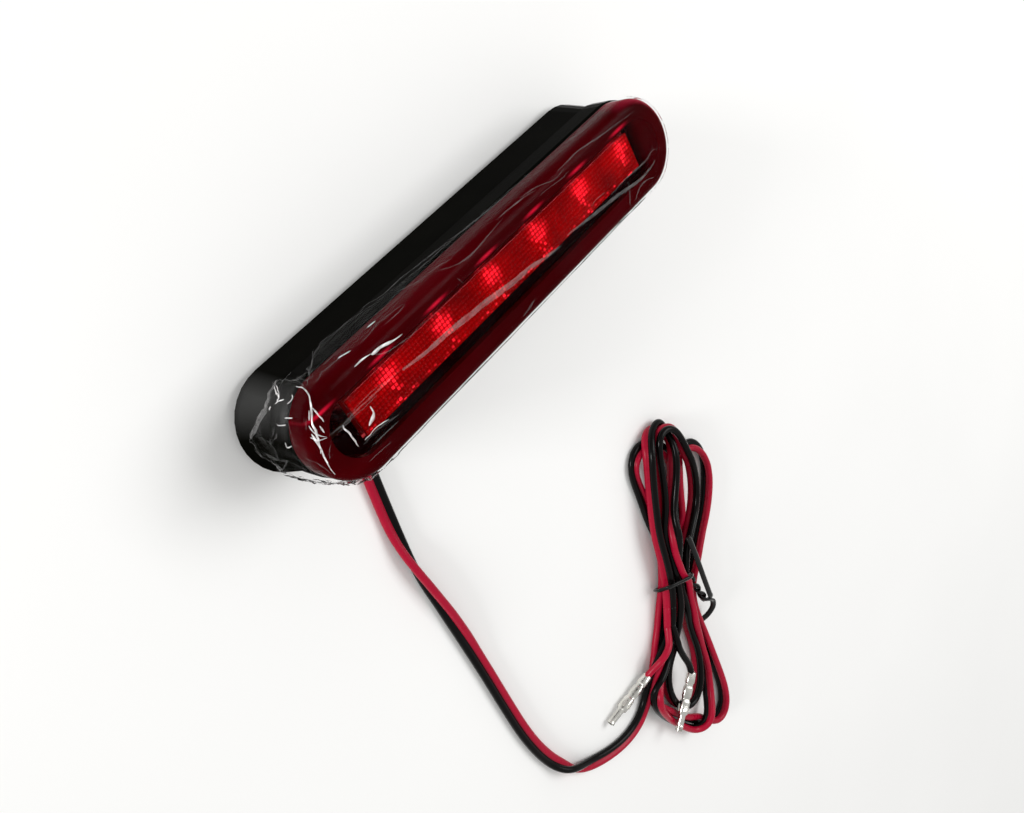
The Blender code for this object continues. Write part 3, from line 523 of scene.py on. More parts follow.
def film(name):
    """Thin clear film: nearly invisible face on, with sharp sheen on every fold."""
    m = Finish(name)
    haze = m.ramp(m.noise(160, 5, (0.25, 1.0, 1.0)), 0.5, 0.85, 0.0, 0.005)
    crinkle = m.bump(m.noise(300, 4, (0.3, 1.0, 1.0), 0.6), 0.00009)
    veil = m.mix(haze, m.shader("Transparent", Color=rgb(0.985, 0.985, 0.985)),
                 m.shader("Diffuse", Color=rgb(0.8, 0.8, 0.8)))
    return m.done(m.mix(m.node("Fresnel", {"IOR": 1.045, "Normal": crinkle}).outputs[0], veil,
                        m.shader("Glossy", Color=WHITE, Roughness=0.1, Normal=crinkle)))


def painted_fold_highlight(name, white):
    """Fold of the film coloured as a painted highlight: milky white, glossy and still partly clear.
    """
    m = Finish(name)
    # painted highlight: how much of the fold is painted milky white, in patches
    patch = m.ramp(m.noise(900, 3, (0.4, 1.0, 1.0)), 0.3, 0.7, white * 0.45, min(1.0, white * 1.4))
    painted_highlight = m.shader("Principled", Base_Color=rgb(0.9, 0.88, 0.88), Roughness=0.2,
                    Specular_IOR_Level=0.8)
    return m.done(m.mix(patch, m.shader("Transparent", Color=WHITE), painted_highlight))


def pale_floor():
    """White table with a trace of tone."""
    m = Finish("pale_floor")
    shade = m.blend(m.patches(4, 3), rgb(0.86, 0.86, 0.85), rgb(0.9, 0.9, 0.89))
    return m.done(m.shader("Principled", Base_Color=shade, Roughness=0.6))


# the maker of each slot's finish and its numbers, in the order that the maker takes them
FINISHES = {
    "black_plastic": (satin_black, (0.0018, 0.0018, 0.0013), 4200, 0.36, 1.02, 0.00003, True),
    "black_foam": (satin_black, (0.01, 0.01, 0.01), 1800, 0.8, 1.05, 0.0002),
    "black_rubber": (satin_black, (0.006, 0.006, 0.006), 2400, 0.5, 1.08, 0.00005),
    "silver_coat": (metal, (0.88, 0.88, 0.89), 0.1, (1, 1, 1), 0.000004, 300),
    "board_green": (plastic, (0.02, 0.12, 0.045), 2600, 0.4, 0.00003, 0.3),
    "led_red": (plastic, (0.5, 0.015, 0.02), 500, 0.1, 0.000005, 0.8),
    "resistor_tan": (plastic, (0.52, 0.38, 0.2), 1500, 0.4, 0.00003),
    "diode_black": (plastic, (0.015, 0.015, 0.015), 1500, 0.35, 0.00002),
    "zinc_steel": (metal, (0.62, 0.62, 0.6), 0.3, (1, 1, 4)),
    "brass": (metal, (0.68, 0.5, 0.2), 0.26, (1, 1, 6)),
    "red_pvc": (pvc, (0.34, 0.003, 0.024), 0.16),
    "black_pvc": (satin_black, (0.0025, 0.002, 0.002), 1500, 0.2, 1.2, 0.00002),
    "tie_black": (satin_black, (0.004, 0.004, 0.004), 1800, 0.22, 1.3, 0.00002),
    "tin_plate": (metal, (0.8, 0.79, 0.74), 0.22, (1, 1, 1), 0.00002, 700),
    "clear_film": (film,),
}
MATERIALS = {slot: make(slot, *numbers) for slot, (make, *numbers) in FINISHES.items()}


def dress_nodes():
    """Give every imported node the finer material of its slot."""
    for part in frame["record"]["subparts"]:
        obj = frame["nodes"][part["node"]]
        finish = MATERIALS.get(part["material_slot"])
        if finish is not None:
            for k in range(max(1, len(obj.material_slots))):
                if k < len(obj.data.materials):
                    obj.data.materials[k] = finish
                else:
                    obj.data.materials.append(finish)


# ---- lens ----

def lens():
    """Red cap: dark red sides and border, clear window over the strip, hollow inside."""
    inner_r, inner_top, cut = LENS_R - LENS_WALL, LENS_TOP - LENS_WALL, 1.2
    profile = [(WINDOW_R, inner_top), (inner_r - cut, inner_top), (inner_r, inner_top - cut),
               (inner_r, LENS_BOTTOM), (LENS_R - 0.3, LENS_BOTTOM), (LENS_R, LENS_BOTTOM + 0.3)]
    for k in range(11):
        angle = math.radians(9 * k)
        profile.append((LENS_R - LENS_EDGE + LENS_EDGE * math.cos(angle),
                        LENS_TOP - LENS_EDGE + LENS_EDGE * math.sin(angle)))
    profile.append((WINDOW_R, LENS_TOP))
    rings = [stadium(r, z) for r, z in profile]
    border = make_mesh("lens_border", *skin(rings + [rings[0]], close_ends=False))
    border.data.set_sharp_from_angle(angle=math.radians(40))
    place(border, lens_deep(), ("lens",))
    rings = [stadium(WINDOW_R - 0.01, z) for z in (inner_top, LENS_TOP)]
    window = make_mesh("lens_window", *skin(rings), smooth=False)
    place(window, lens_clear(), ("lens",))


def lens_strip():
    """The moulded optic strip under the window: a grid of small square pillows."""
    top = LENS_TOP - LENS_WALL - STRIP_GAP
    nx = round(2 * STRIP_HALF_LENGTH / PILLOW) * PILLOW_STEPS
    ny = PILLOW_ROWS * PILLOW_STEPS
    verts, faces = [], []
    for j in range(ny + 1):
        for i in range(nx + 1):
            u, v = i / PILLOW_STEPS % 1.0, j / PILLOW_STEPS % 1.0
            dome = (4 * u * (1 - u) * 4 * v * (1 - v)) ** 0.6
            verts.append((-STRIP_HALF_LENGTH + 2 * STRIP_HALF_LENGTH * i / nx,
                          -STRIP_HALF_WIDTH + 2 * STRIP_HALF_WIDTH * j / ny,
                          top - PILLOW_HEIGHT * (1 - dome)))
    for j in range(ny):
        for i in range(nx):
            a = j * (nx + 1) + i
            faces.append((a, a + 1, a + nx + 2, a + nx + 1))
    edge = list(range(nx + 1))
    edge += [(j + 1) * (nx + 1) - 1 for j in range(1, ny)]
    edge += [ny * (nx + 1) + i for i in reversed(range(nx + 1))]
    edge += [j * (nx + 1) for j in reversed(range(1, ny))]
    base = len(verts)
    verts += [(verts[k][0], verts[k][1], top - STRIP_DEPTH) for k in edge]
    for k in range(len(edge)):
        n = (k + 1) % len(edge)
        faces.append((edge[n], edge[k], base + k, base + n))
    faces.append(tuple(reversed(range(base, base + len(edge)))))
    place(make_mesh("lens_optic_strip", verts, faces), optics(), ("lens",))


# ---- lead ----

def relaxed_lead():
    """Lay the two cores along the drawn route and let them settle on the floor and each other."""
    drawn = full_rows(LEAD_POINTS)
    drawn[:, :3] /= 10
    drawn[:, 3] = np.unwrap(np.radians(drawn[:, 3]))
    line = resample(catmull(drawn), STEP)
    ahead = unit(np.gradient(line[:, :3], axis=0))
    left = unit(np.c_[-ahead[:, 1], ahead[:, 0], np.zeros(len(ahead))])
    up = np.cross(ahead, left)
    out = np.cos(line[:, 3])[:, None] * left + np.sin(line[:, 3])[:, None] * up
    count = len(line)
    cores = np.concatenate([line[:, :3] + CORE_R * out, line[:, :3] - CORE_R * out])
    cores[:, 2] = np.maximum(cores[:, 2], CORE_R)
    start = cores.copy()
    rest = np.linalg.norm(np.diff(line[:, :3], axis=0), axis=1).mean()
    index = np.arange(2 * count) % count
    fixed = np.r_[0:FIXED_POINTS, count:count + FIXED_POINTS]
    for k in range(ROUNDS):
        cores[:, 2] -= SINK
        hold = HOLD_EARLY if k < 0.7 * ROUNDS else HOLD_LATE
        cores[:, :2] += hold * (start[:, :2] - cores[:, :2])
        cores[:, 2] += HOLD_UP * (start[:, 2] - cores[:, 2])
        for first in (0, count):
            smooth_and_stretch(cores[first:first + count], rest)
        gap = cores[count:] - cores[:count]
        size = np.linalg.norm(gap, axis=1)[:, None]
        push = gap * (size - 2 * CORE_R) / size * 0.5
        cores[:count] += push
        cores[count:] -= push
        if k % 5 == 0:
            apart = ((cores[:, None, :] - cores[None, :, :]) ** 2).sum(2)
            close = (np.abs(index[:, None] - index[None, :]) > 5) & (apart < NEAR ** 2)
            one, two = np.where(np.triu(close))
        gap = cores[two] - cores[one]
        size = np.linalg.norm(gap, axis=1)
        touch = size < TOUCH
        share = (TOUCH - size[touch]) / np.maximum(size[touch], 1e-6) * 0.35
        push = gap[touch] * share[:, None]
        np.add.at(cores, one[touch], -push)
        np.add.at(cores, two[touch], push)
        away = cores[:, :2] - np.array(TIE_AT)
        lift = np.exp(-((away @ ALONG) / 7.0) ** 2) * (np.abs(away @ ACROSS) < 25)
        cores[:, 2] = np.maximum(cores[:, 2], CORE_R + lift)
        cores[fixed] = start[fixed]
    return cores[:count], cores[count:]


def smooth_and_stretch(line, rest):
    """One round of bending stiffness and of keeping the length, for one core."""
    lap = np.zeros_like(line)
    lap[1:-1] = (line[2:] + line[:-2]) / 2 - line[1:-1]
    curl = np.zeros_like(line)
    curl[1:-1] = lap[1:-1] - (lap[2:] + lap[:-2]) / 2
    line += 0.24 * curl
    line[2:-2] += 0.05 * (lap[2:-2] - (lap[3:-1] + lap[1:-3]) / 2)
    for odd in (0, 1):
        i = np.arange(odd, len(line) - 1, 2)
        gap = line[i + 1] - line[i]
        size = np.linalg.norm(gap, axis=1)[:, None]
        pull = gap * (size - rest) / size * 0.3
        line[i] += pull
        line[i + 1] -= pull


def lead(red, black):
    """The flat two-core lead as one piece: two round cores joined by a thin web."""
    both = resample(catmull(np.hstack([(red + black) / 2, red - black]), 4), 1.0)
    centre, out = both[:, :3], unit(both[:, 3:])
    ahead = unit(np.gradient(centre, axis=0))
    face = unit(np.cross(ahead, out))
    sides, rings = 11, []
    for c, o, f in zip(centre, out, face):
        ring = []
        for sign in (1, -1):
            for i in range(sides):
                angle = math.radians(-158 + 316 * i / (sides - 1))
                ring.append(c + sign * o * (CORE_R + CORE_R * math.cos(angle))
                            + sign * f * CORE_R * math.sin(angle))
        rings.append(ring)
    obj = make_mesh("lead_cord", *skin(rings))
    obj.data.materials.append(MATERIALS["red_pvc"])
    obj.data.materials.append(MATERIALS["black_pvc"])
    which = [0 if i < sides - 1 or i == 2 * sides - 1 else 1 for i in range(2 * sides)]
    which = which * (len(rings) - 1) + [0, 0]
    obj.data.polygons.foreach_set("material_index", which[:len(obj.data.polygons)])
    place(obj, None, ("cord_lead", "cord_hank"))
    return obj, centre


def tail(name, core, points, node, slot):
    """One core after the split, on to its terminal."""
    line = resample(catmull(np.vstack([core[-5:], np.array(points)]), 12), 0.8)
    obj = make_mesh(name, *skin(tube(line, CORE_R, 16)))
    return place(obj, MATERIALS[slot], (node,)), line


# crimp terminal: distance along it, half width and half height
TERMINAL_FORM = (
    (-1.3, 1.7, 1.5), (-1.0, 2.05, 1.62), (2.6, 2.1, 1.6), (3.0, 2.0, 1.45), (3.3, 1.75, 1.2),
    (4.3, 1.75, 1.15), (4.6, 2.0, 1.3), (5.0, 2.15, 1.38), (8.0, 2.15, 1.36), (8.4, 2.0, 1.25),
    (8.8, 1.8, 1.15), (9.6, 1.8, 1.2), (10.0, 2.05, 1.55), (10.3, 2.15, 1.68), (14.6, 2.15, 1.68),
    (15.0, 2.0, 1.6), (15.3, 1.6, 1.45), (15.8, 1.5, 1.4), (21.6, 1.5, 1.4))
# its open mouth, measured back from the tip
TERMINAL_MOUTH = (
    (-1.0, 1.5, 1.4), (-0.7, 1.66, 1.56), (-0.25, 1.66, 1.56), (0.0, 1.4, 1.3), (0.0, 0.95, 0.9),
    (-2.6, 0.9, 0.85), (-2.8, 0.1, 0.1))
TERMINAL_SLIM = 0.88
# tangs: from and to across the terminal, along it, and above it
TANGS = (
    ((1.5, 2.45), (10.6, 13.6), (0.0, 0.5)), ((-2.2, -1.5), (11.6, 14.2), (-0.6, 0.1)),
    ((-0.7, 0.7), (10.8, 13.8), (1.3, 1.95)))
BOX_FACES = (
    (0, 1, 2, 3), (7, 6, 5, 4), (0, 4, 5, 1), (1, 5, 6, 2), (2, 6, 7, 3), (3, 7, 4, 0))


def terminal(name, start, tip, node, face):
    """Crimp socket: insulation grip, wire grip, sprung box with tangs, open barrel, rolled end."""
    start, tip, face = Vector(start), Vector(tip), Vector(face)
    length = (tip - start).length
    form = TERMINAL_FORM + tuple((length + s, wide, high) for s, wide, high in TERMINAL_MOUTH)
    sides, rings = 32, []
    for k, (s, wide, high) in enumerate(form):
        wide, high = wide * TERMINAL_SLIM, high * TERMINAL_SLIM
        box = 0.62 if 2.4 < s < 15.2 else 0.85
        has_seam, has_lips = k < len(TERMINAL_FORM) + 2, 4.4 < s < 8.3
        ring = []
        for i in range(sides):
            angle = 2 * math.pi * i / sides
            c, d = math.cos(angle), math.sin(angle)
            below = angle - 1.5 * math.pi
            seam = math.exp(-(below / 0.17) ** 2) if has_seam else 0.0
            lips = math.exp(-((abs(below) - 0.4) / 0.2) ** 2) if has_lips else 0.0
            y = high * math.copysign(abs(d) ** box, d)
            y += 0.55 * seam - 0.25 * lips
            ring.append((wide * math.copysign(abs(c) ** box, c), y, s))
        rings.append(ring)
    verts, faces = skin(rings)
    for (x0, x1), (s0, s1), (h0, h1) in TANGS:
        base = len(verts)
        root = x1 if x0 < 0 else x0 + 0.3
        verts += [(x0, h0 - 0.4, s0), (root, h0 - 0.4, s0), (root, h0, s0), (x0, h0, s0),
                  (x0, h1 - 0.4, s1), (x1, h1 - 0.4, s1), (x1, h1, s1), (x0, h1, s1)]
        faces += [tuple(base + k for k in f) for f in BOX_FACES]
    ahead = (tip - start).normalized()
    up = (face - ahead * face.dot(ahead)).normalized()
    side = up.cross(ahead)
    verts = [tuple(start + side * x + up * y + ahead * z) for x, y, z in verts]
    obj = make_mesh(name, verts, faces)
    obj.data.set_sharp_from_angle(angle=math.radians(35))
    return place(obj, MATERIALS["tin_plate"], (node,))


def tie_piece(name, line, radius, flat):
    """One length of the tie's flat covered wire."""
    obj = make_mesh(name, *skin(tube(line, radius, 14, flat)))
    return place(obj, MATERIALS["tie_black"], ("twist_tie",))


def twist_tie(red, black):
    """The tie's loop round the waist of the hank, and the point where it is twisted off."""
    cores = np.concatenate([red, black])
    away = cores[:, :2] - np.array(TIE_AT)
    near = (np.abs(away @ ALONG) < TIE_BAND) & (np.abs(away @ ACROSS) < TIE_SPAN)
    flat = np.c_[(away @ ACROSS)[near], cores[near, 2]]
    angles = np.linspace(0, 2 * math.pi, 64, endpoint=False)
    rays = np.c_[np.cos(angles), np.sin(angles)]
    reach = (flat @ rays.T).max(0) + CORE_R + TIE_GAP
    hull = []
    for k in range(len(angles)):
        n = (k + 1) % len(angles)
        hull.append(np.linalg.solve(np.array([rays[k], rays[n]]), np.array([reach[k], reach[n]])))
    hull = np.array(hull)
    hull[:, 1] = np.maximum(hull[:, 1], TIE_LOW)
    for _ in range(3):
        hull = (np.roll(hull, 1, 0) + 2 * hull + np.roll(hull, -1, 0)) / 4
    hull[:, 1] = np.maximum(hull[:, 1], TIE_LOW)
    hull[:, 0] -= 1.6 * np.exp(-((hull[:, 0] - hull[:, 0].min()) / 4.0) ** 2)
    highest = hull[:, 1].max()
    ring = np.array([[*(np.array(TIE_AT) + n * ACROSS + ALONG * (0.1 * n + 0.5 * (highest - z))), z]
                     for n, z in hull])
    ring = np.roll(ring, -int(np.argmax(hull[:, 0])), 0)
    line = resample(catmull(np.vstack([ring, ring[:1]]), 4), 0.7)
    return tie_piece("twist_tie_loop", line, TIE_R, TIE_FLAT), ring[0]


def tie_tails(knot):
    """The twisted knot beside the hank and the two ends of the tie."""
    knot, end = np.array(knot), np.array(TIE_LONG[0])
    direction = (end - knot) / np.linalg.norm(end - knot)
    side = np.cross(direction, (0, 0, 1.0))
    side /= np.linalg.norm(side)
    up = np.cross(side, direction)
    made = []
    for k, (phase, route) in enumerate(((0.0, TIE_LONG[1:]), (math.pi, TIE_SHORT[1:]))):
        twist = []
        for i in range(0, TWIST_STEPS + 1, 4):
            t = i / TWIST_STEPS
            angle = phase + 2 * math.pi * TWISTS * t
            twist.append(knot + (end - knot) * t
                         + TWIST_R * (math.cos(angle) * side + math.sin(angle) * up))
        line = resample(catmull(np.vstack([np.array(twist), np.array(route)]), 12), 0.6)
        line[:, 2] = np.maximum(line[:, 2], TIE_END_LOW)
        made.append(tie_piece(f"twist_tie_end_{k + 1}", line, TIE_END_R, TIE_END_FLAT))
    return made


# ---- film ----

FILM_R = 14.5
FILM_TOP = 34.3
FILM_EDGE = 3.2
FILM_SHOULDER = FILM_TOP - FILM_EDGE
# the film stands off more from here to the near end
NEAR_START = -52
SPANS_ALONG, SPANS_ROUND = 203, 72
FLAT_ROWS, EDGE_ROWS, SKIRT_ROWS = 18, 9, 26
FILM_ROWS = FLAT_ROWS + EDGE_ROWS + SKIRT_ROWS
# places along the hem: per degree round an end, and where the -Y side begins
CAP_TURN = 0.2758
OTHER_SIDE = 110.6
# hem of the film: the place along the +Y side, round the near end and back, and the height there
FILM_HEM = (
    (-75, 30.5), (-61, 28.6), (-30, 27.8), (0, 26.0), (10, 25.4), (18, 25.0), (26, 24.2),
    (33, 22.6), (40, 20.2), (50, 17.4), (54, 20.4), (58, 24.6), (62, 26.3), (64.3, 24.7),
    (65.3, 17.8), (66, 17.2), (69.5, 18.5), (73, 17.5), (77, 13.5), (80.3, 10.2), (81.7, 11.3),
    (85, 10.5), (86.7, 16.8), (91.3, 12.0), (94.2, 10.5), (95.5, 15.5), (98.2, 19.0), (106, 20.5),
    (130, 23.5), (170, 25.0), (200, 24.5), (214, 21.5), (226, 22.0), (232, 26.5), (240, 30.5),
    (275, 31.0))
# the stretch of the hem that shows as a white line, a painted highlight
HEM_FOLD = slice(60, 375)
# folds of the film, raised a little and coloured as painted highlights: width, kind (0 thin line, 1
# bright glint, 2 broad veil, each a painted highlight) and the points along it, in tenths of a
# millimetre; a height that is left out is as at the point before it, and at first it is FILM_TOP
FILM_FOLDS = (
    (0.6, 0, ((-691, 37), (-646, 34), (-609, 34), (-573, 33), (-536, 31), (-453, 29))),
    (0.35, 0, ((-669, 27), (-625, 28), (-583, 25), (-534, 23))),
    (0.45, 1, ((-650, 34), (-651, 23), (-647, 4), (-647, -20), (-647, -38))),
    (1.0, 1, ((-564, 15), (-568, -6), (-594, -20))),
    (0.5, 0, ((-634, -43), (-599, -41), (-563, -45), (-516, -55))),
    (0.5, 0, ((-619, -62), (-570, -64), (-525, -67))),
    (0.3, 1, ((-626, -36), (-576, -37), (-543, -45))),
    (0.5, 1, ((-680, 110, 338), (-681, 91, 343), (-681, 71))),
    (0.4, 1, ((-688, 110, 334), (-703, 94, 337))),
    (0.5, 1, ((-654, 143, 269), (-652, 141, 289), (-660, 135, 318), (-672, 122, 332),
      (-685, 107, 337), (-703, 85, 340), (-708, 69, 342), (-719, 42, 343), (-727, 13, 342),
      (-731, -11), (-732, -32, 340), (-730, -48, 338))),
    (0.35, 1, ((-711, 85, 337), (-713, 67, 341), (-706, 50, 343), (-697, 39))),
    (0.4, 1, ((-694, 70), (-695, 50))),
    (0.3, 0, ((-701, 19), (-722, -6))),
    (0.4, 1, ((-724, 63, 338), (-718, 48, 343), (-698, 37))),
    (0.6, 1, ((-718, 68, 339), (-724, 31, 342), (-730, 18))),
    (0.5, 1, ((-548, 145, 313), (-534, 144, 318), (-517, 143, 323))),
    (0.9, 1, ((-487, 109), (-473, 109), (-459, 107))),
    (0.45, 1, ((-541, 117), (-515, 117), (-488, 113))),
    (0.35, 0, ((-634, 142, 318), (-613, 144, 317), (-591, 145, 312), (-555, 144, 317),
      (-543, 144, 316))),
    (0.35, 0, ((-750, 21, 324), (-743, -8, 336), (-736, -42))),
    (0.35, 0, ((-649, -86), (-608, -88), (-572, -93))),
    (0.3, 0, ((-628, 44), (-593, 41), (-540, 41), (-495, 34))),
    (0.35, 0, ((-489, 141, 327), (-448, 143, 323), (-421, 144, 318), (-391, 144, 320),
      (-354, 142, 324), (-330, 140, 328))),
    (0.35, 0, ((-428, 146, 257), (-360, 146, 276), (-294, 146, 265), (-261, 145, 293),
      (-240, 145, 301), (-213, 145, 304), (-186, 145, 312), (-155, 142, 325), (-129, 143, 320),
      (-99, 142, 325))),
    (0.45, 0, ((-199, 144, 320), (-192, 139, 329), (-166, 130, 338), (-134, 123, 341),
      (-97, 120, 342), (-57, 123, 341), (-22, 126, 340), (9, 129, 339), (45, 132, 337))),
    (0.35, 0, ((27, 137, 332), (61, 137), (106, 135, 334), (146, 132, 337), (184, 127, 340))),
    (0.7, 1, ((-489, 111), (-460, 109), (-418, 97), (-389, 93))),
    (0.35, 0, ((-489, 111), (-453, 88), (-400, 78), (-370, 74), (-339, 77), (-312, 75))),
    (0.5, 0, ((-51, -114), (-19, -109), (10, -101))),
    (0.3, 0, ((-173, 101), (-165, 77))),
    (0.3, 0, ((-411, 137, 332), (-361, 136, 333), (-333, 138, 330))),
    (0.4, 1, ((-434, 145, 297), (-409, 145, 300))),
    (2.0, 2, ((-441, 24), (-376, 15), (-321, 11), (-277, 9), (-225, 4), (-177, -1), (-147, -3),
      (-88, -11), (-27, -19), (43, -24), (105, -35), (169, -43))),
    (1.2, 2, ((208, -33), (270, -41), (340, -49), (402, -54), (444, -59), (496, -67), (527, -72),
      (560, -75), (592, -73), (623, -70), (640, -63))),
    (0.35, 0, ((129, 137, 332), (172, 134, 335), (209, 127, 340), (239, 117, 342), (272, 114, 343),
      (301, 119, 342))),
    (0.3, 0, ((184, 109), (222, 108), (255, 104), (287, 101), (308, 105))),
    (0.5, 0, ((282, 125, 341), (324, 125, 340), (372, 127), (433, 120, 342), (497, 112, 343),
      (533, 109), (575, 105), (612, 101), (643, 97))),
    (0.6, 0, ((422, -42), (469, -39), (515, -39), (571, -42), (613, -42), (642, -34), (682, -46))),
    (0.3, 0, ((332, -22), (371, -19), (412, -24))),
    (0.5, 0, ((502, -49), (491, -82), (471, -110))),
    (0.5, 0, ((500, -111), (536, -93), (573, -91), (608, -102))),
    (2.4, 2, ((-653, 150, 179), (-683, 139, 182), (-709, 121, 187), (-732, 98, 165),
      (-757, 53, 102))),
    (0.7, 1, ((-667, 146, 183), (-680, 140, 206), (-688, 133, 230), (-702, 126, 216))),
    (0.4, 1, ((-663, 147, 192), (-686, 134, 229))),
    (0.4, 1, ((-701, 127, 216), (-687, 131, 248))),
    (0.6, 1, ((-708, 122, 203), (-715, 116))),
    (0.45, 1, ((-674, 135, 271), (-688, 127, 272), (-694, 125, 261))),
    (0.45, 1, ((-719, 104, 262), (-714, 104, 291))),
    (0.35, 1, ((-731, 94, 238), (-731, 91, 251), (-727, 92, 272))),
    (0.4, 0, ((-740, 81, 237), (-749, 67, 228), (-754, 59, 216))),
    (0.4, 1, ((-750, 56, 258), (-753, 46, 266), (-750, 50, 281))),
    (0.4, 0, ((-764, 26, 213), (-765, 11, 218), (-764, 8, 232), (-766, -13, 203),
      (-766, -14, 180))),
    (0.4, 0, ((-763, -35, 130), (-763, -32, 178), (-760, -38, 224), (-763, -28, 214),
      (-766, -9, 202))),
    (0.3, 0, ((-736, 90, 225), (-751, 67, 215), (-762, 36, 180))),
    (0.3, 0, ((-703, 116, 279), (-715, 105, 274), (-734, 78, 291), (-749, 45, 296))),
    (0.35, 0, ((-755, 17, 302), (-756, -19, 294), (-739, -79, 253))),
    (0.35, 0, ((-754, -31, 293), (-730, -97, 231), (-737, -109, 274))),
    (0.3, 0, ((-745, -39, 327), (-728, -103, 263), (-739, -110, 295))),
    (0.4, 0, ((-724, -86, 323), (-700, -121, 321), (-680, -132, 324))),
    (0.4, 0, ((-630, 151, 245), (-634, 147, 271), (-633, 145, 292), (-649, 140, 303))),
    (0.45, 0, ((-533, 149, 184), (-575, 151, 239), (-621, 148, 283), (-646, 141, 303))),
    (0.35, 0, ((-640, 150, 237), (-642, 147, 266), (-650, 141, 300))),
    (0.5, 0, ((-381, 147, 201), (-350, 147, 198), (-312, 147, 216), (-237, 147, 219),
      (-154, 147, 232), (-75, 146, 246), (-12, 146, 262), (59, 146, 273), (137, 146, 277))),
)


def film_radius(past, flare):
    """The film's radius at a distance past NEAR_START; flare is the share of its spread below."""
    return FILM_R + (0.25 + 0.9 * clamp(past / 8)) * flare


def film_form(x, y, z):
    """The film's rest form at a point: the outward direction and the distance to the form."""
    cx = max(-END_CENTRE, min(END_CENTRE, x))
    r = max(math.hypot(x - cx, y), 1e-6)
    nx, ny = (x - cx) / r, y / r
    reach = film_radius(NEAR_START - x, clamp((FILM_SHOULDER - z) / 10))
    if z < FILM_SHOULDER:
        return (nx, ny, 0.0), r - reach
    dr, dz = max(0.0, r - (reach - FILM_EDGE)), z - FILM_SHOULDER
    size = max(math.hypot(dr, dz), 1e-6)
    return (nx * dr / size, ny * dr / size, dz / size), size - FILM_EDGE


def step(low, high, value):
    """Smooth step from 0 to 1."""
    t = clamp((value - low) / (high - low))
    return t * t * (3 - 2 * t)


def crease_net(x, y, z):
    """Sharp folds between flat facets, as crumpled film has: 0 on a facet, up to 1 on a fold."""
    near, _ = noise.voronoi((x, y, z))
    return max(0.0, 1 - (near[1] - near[0]) / 0.22)


def film_lift(x, y, z):
    """How far the film stands off its rest form at a point."""
    crumple = max(step(-50, -64, x), 0.5 * step(46, 60, x) * step(2, -8, y))
    lift = 0.16 * max(0.0, noise.noise((x * 0.03, y * 0.25, z * 0.25)) + 0.2)
    lift += 0.1 * crease_net(x * 0.035, y * 0.16, z * 0.16)
    lift += crumple * (0.42 * crease_net(x * 0.13 + 7, y * 0.17, z * 0.14)
                       + 0.3 * crease_net(x * 0.3, y * 0.33 + 3, z * 0.3)
                       + 0.5 * max(0.0, noise.noise((x * 0.1, y * 0.14, z * 0.12 + 5))))
    hang = step(-70, -76, x) * step(28, 20, z)
    return lift + 0.5 * hang * (1 + noise.noise((y * 0.3, z * 0.2, 2.0)))


def hem_height(cx, nx, ny):
    """Height of the film's hem at a place round the lamp, with small ripples."""
    if nx <= 0 and cx <= -END_CENTRE + 0.01:
        at = END_CENTRE + math.degrees(math.atan2(abs(nx), ny)) * CAP_TURN
    elif nx > 0:
        at = -END_CENTRE if ny > 0 else 2 * END_CENTRE + OTHER_SIDE
        at += (-1 if ny > 0 else 1) * math.degrees(math.atan2(nx, abs(ny))) * CAP_TURN * 0.5
    else:
        at = -cx if ny > 0 else OTHER_SIDE + cx + END_CENTRE
    base = float(np.interp(at, *np.array(FILM_HEM).T))
    return base + 0.5 * noise.noise((at * 0.5, 3.1, 0.0)) + 0.25 * noise.noise((at * 1.7, 8.0, 0.0))


def film_point(k, cx, nx, ny):
    """A point of the film: row k from the middle of the top to the hem, at a place round it."""
    if k < FLAT_ROWS:
        r, z = (FILM_R - FILM_EDGE) * (k + 0.02) / FLAT_ROWS, FILM_TOP
    elif k < FLAT_ROWS + EDGE_ROWS:
        angle = math.radians(90 - 90 * (k - FLAT_ROWS) / EDGE_ROWS)
        r = FILM_R - FILM_EDGE + FILM_EDGE * math.cos(angle)
        z = FILM_SHOULDER + FILM_EDGE * math.sin(angle)
    else:
        t = (k - FLAT_ROWS - EDGE_ROWS) / (SKIRT_ROWS - 1)
        z = FILM_SHOULDER - (FILM_SHOULDER - hem_height(cx, nx, ny)) * t
        spread = 2.6 * (step(38, 52, cx) * step(-0.3, -0.9, ny)) * t
        r = film_radius(NEAR_START - cx - FILM_R * nx, min(1.0, (FILM_SHOULDER - z) / 10)) + spread
    x, y = cx + nx * r, ny * r
    (fx, fy, fz), _ = film_form(x, y, z)
    lift = film_lift(x, y, z)
    return (x + fx * lift, y + fy * lift, z + fz * lift * 0.7)


def film_places():
    """Places round the film: the centre that each lies about, and its outward direction."""
    places = []
    for sign in (1, -1):
        for k in range(SPANS_ALONG):
            places.append((sign * (END_CENTRE - 2 * END_CENTRE * k / SPANS_ALONG), 0.0, sign))
        for k in range(SPANS_ROUND):
            angle = math.radians(90 * sign + 180 * k / SPANS_ROUND)
            places.append((-sign * END_CENTRE, math.cos(angle), math.sin(angle)))
    return places


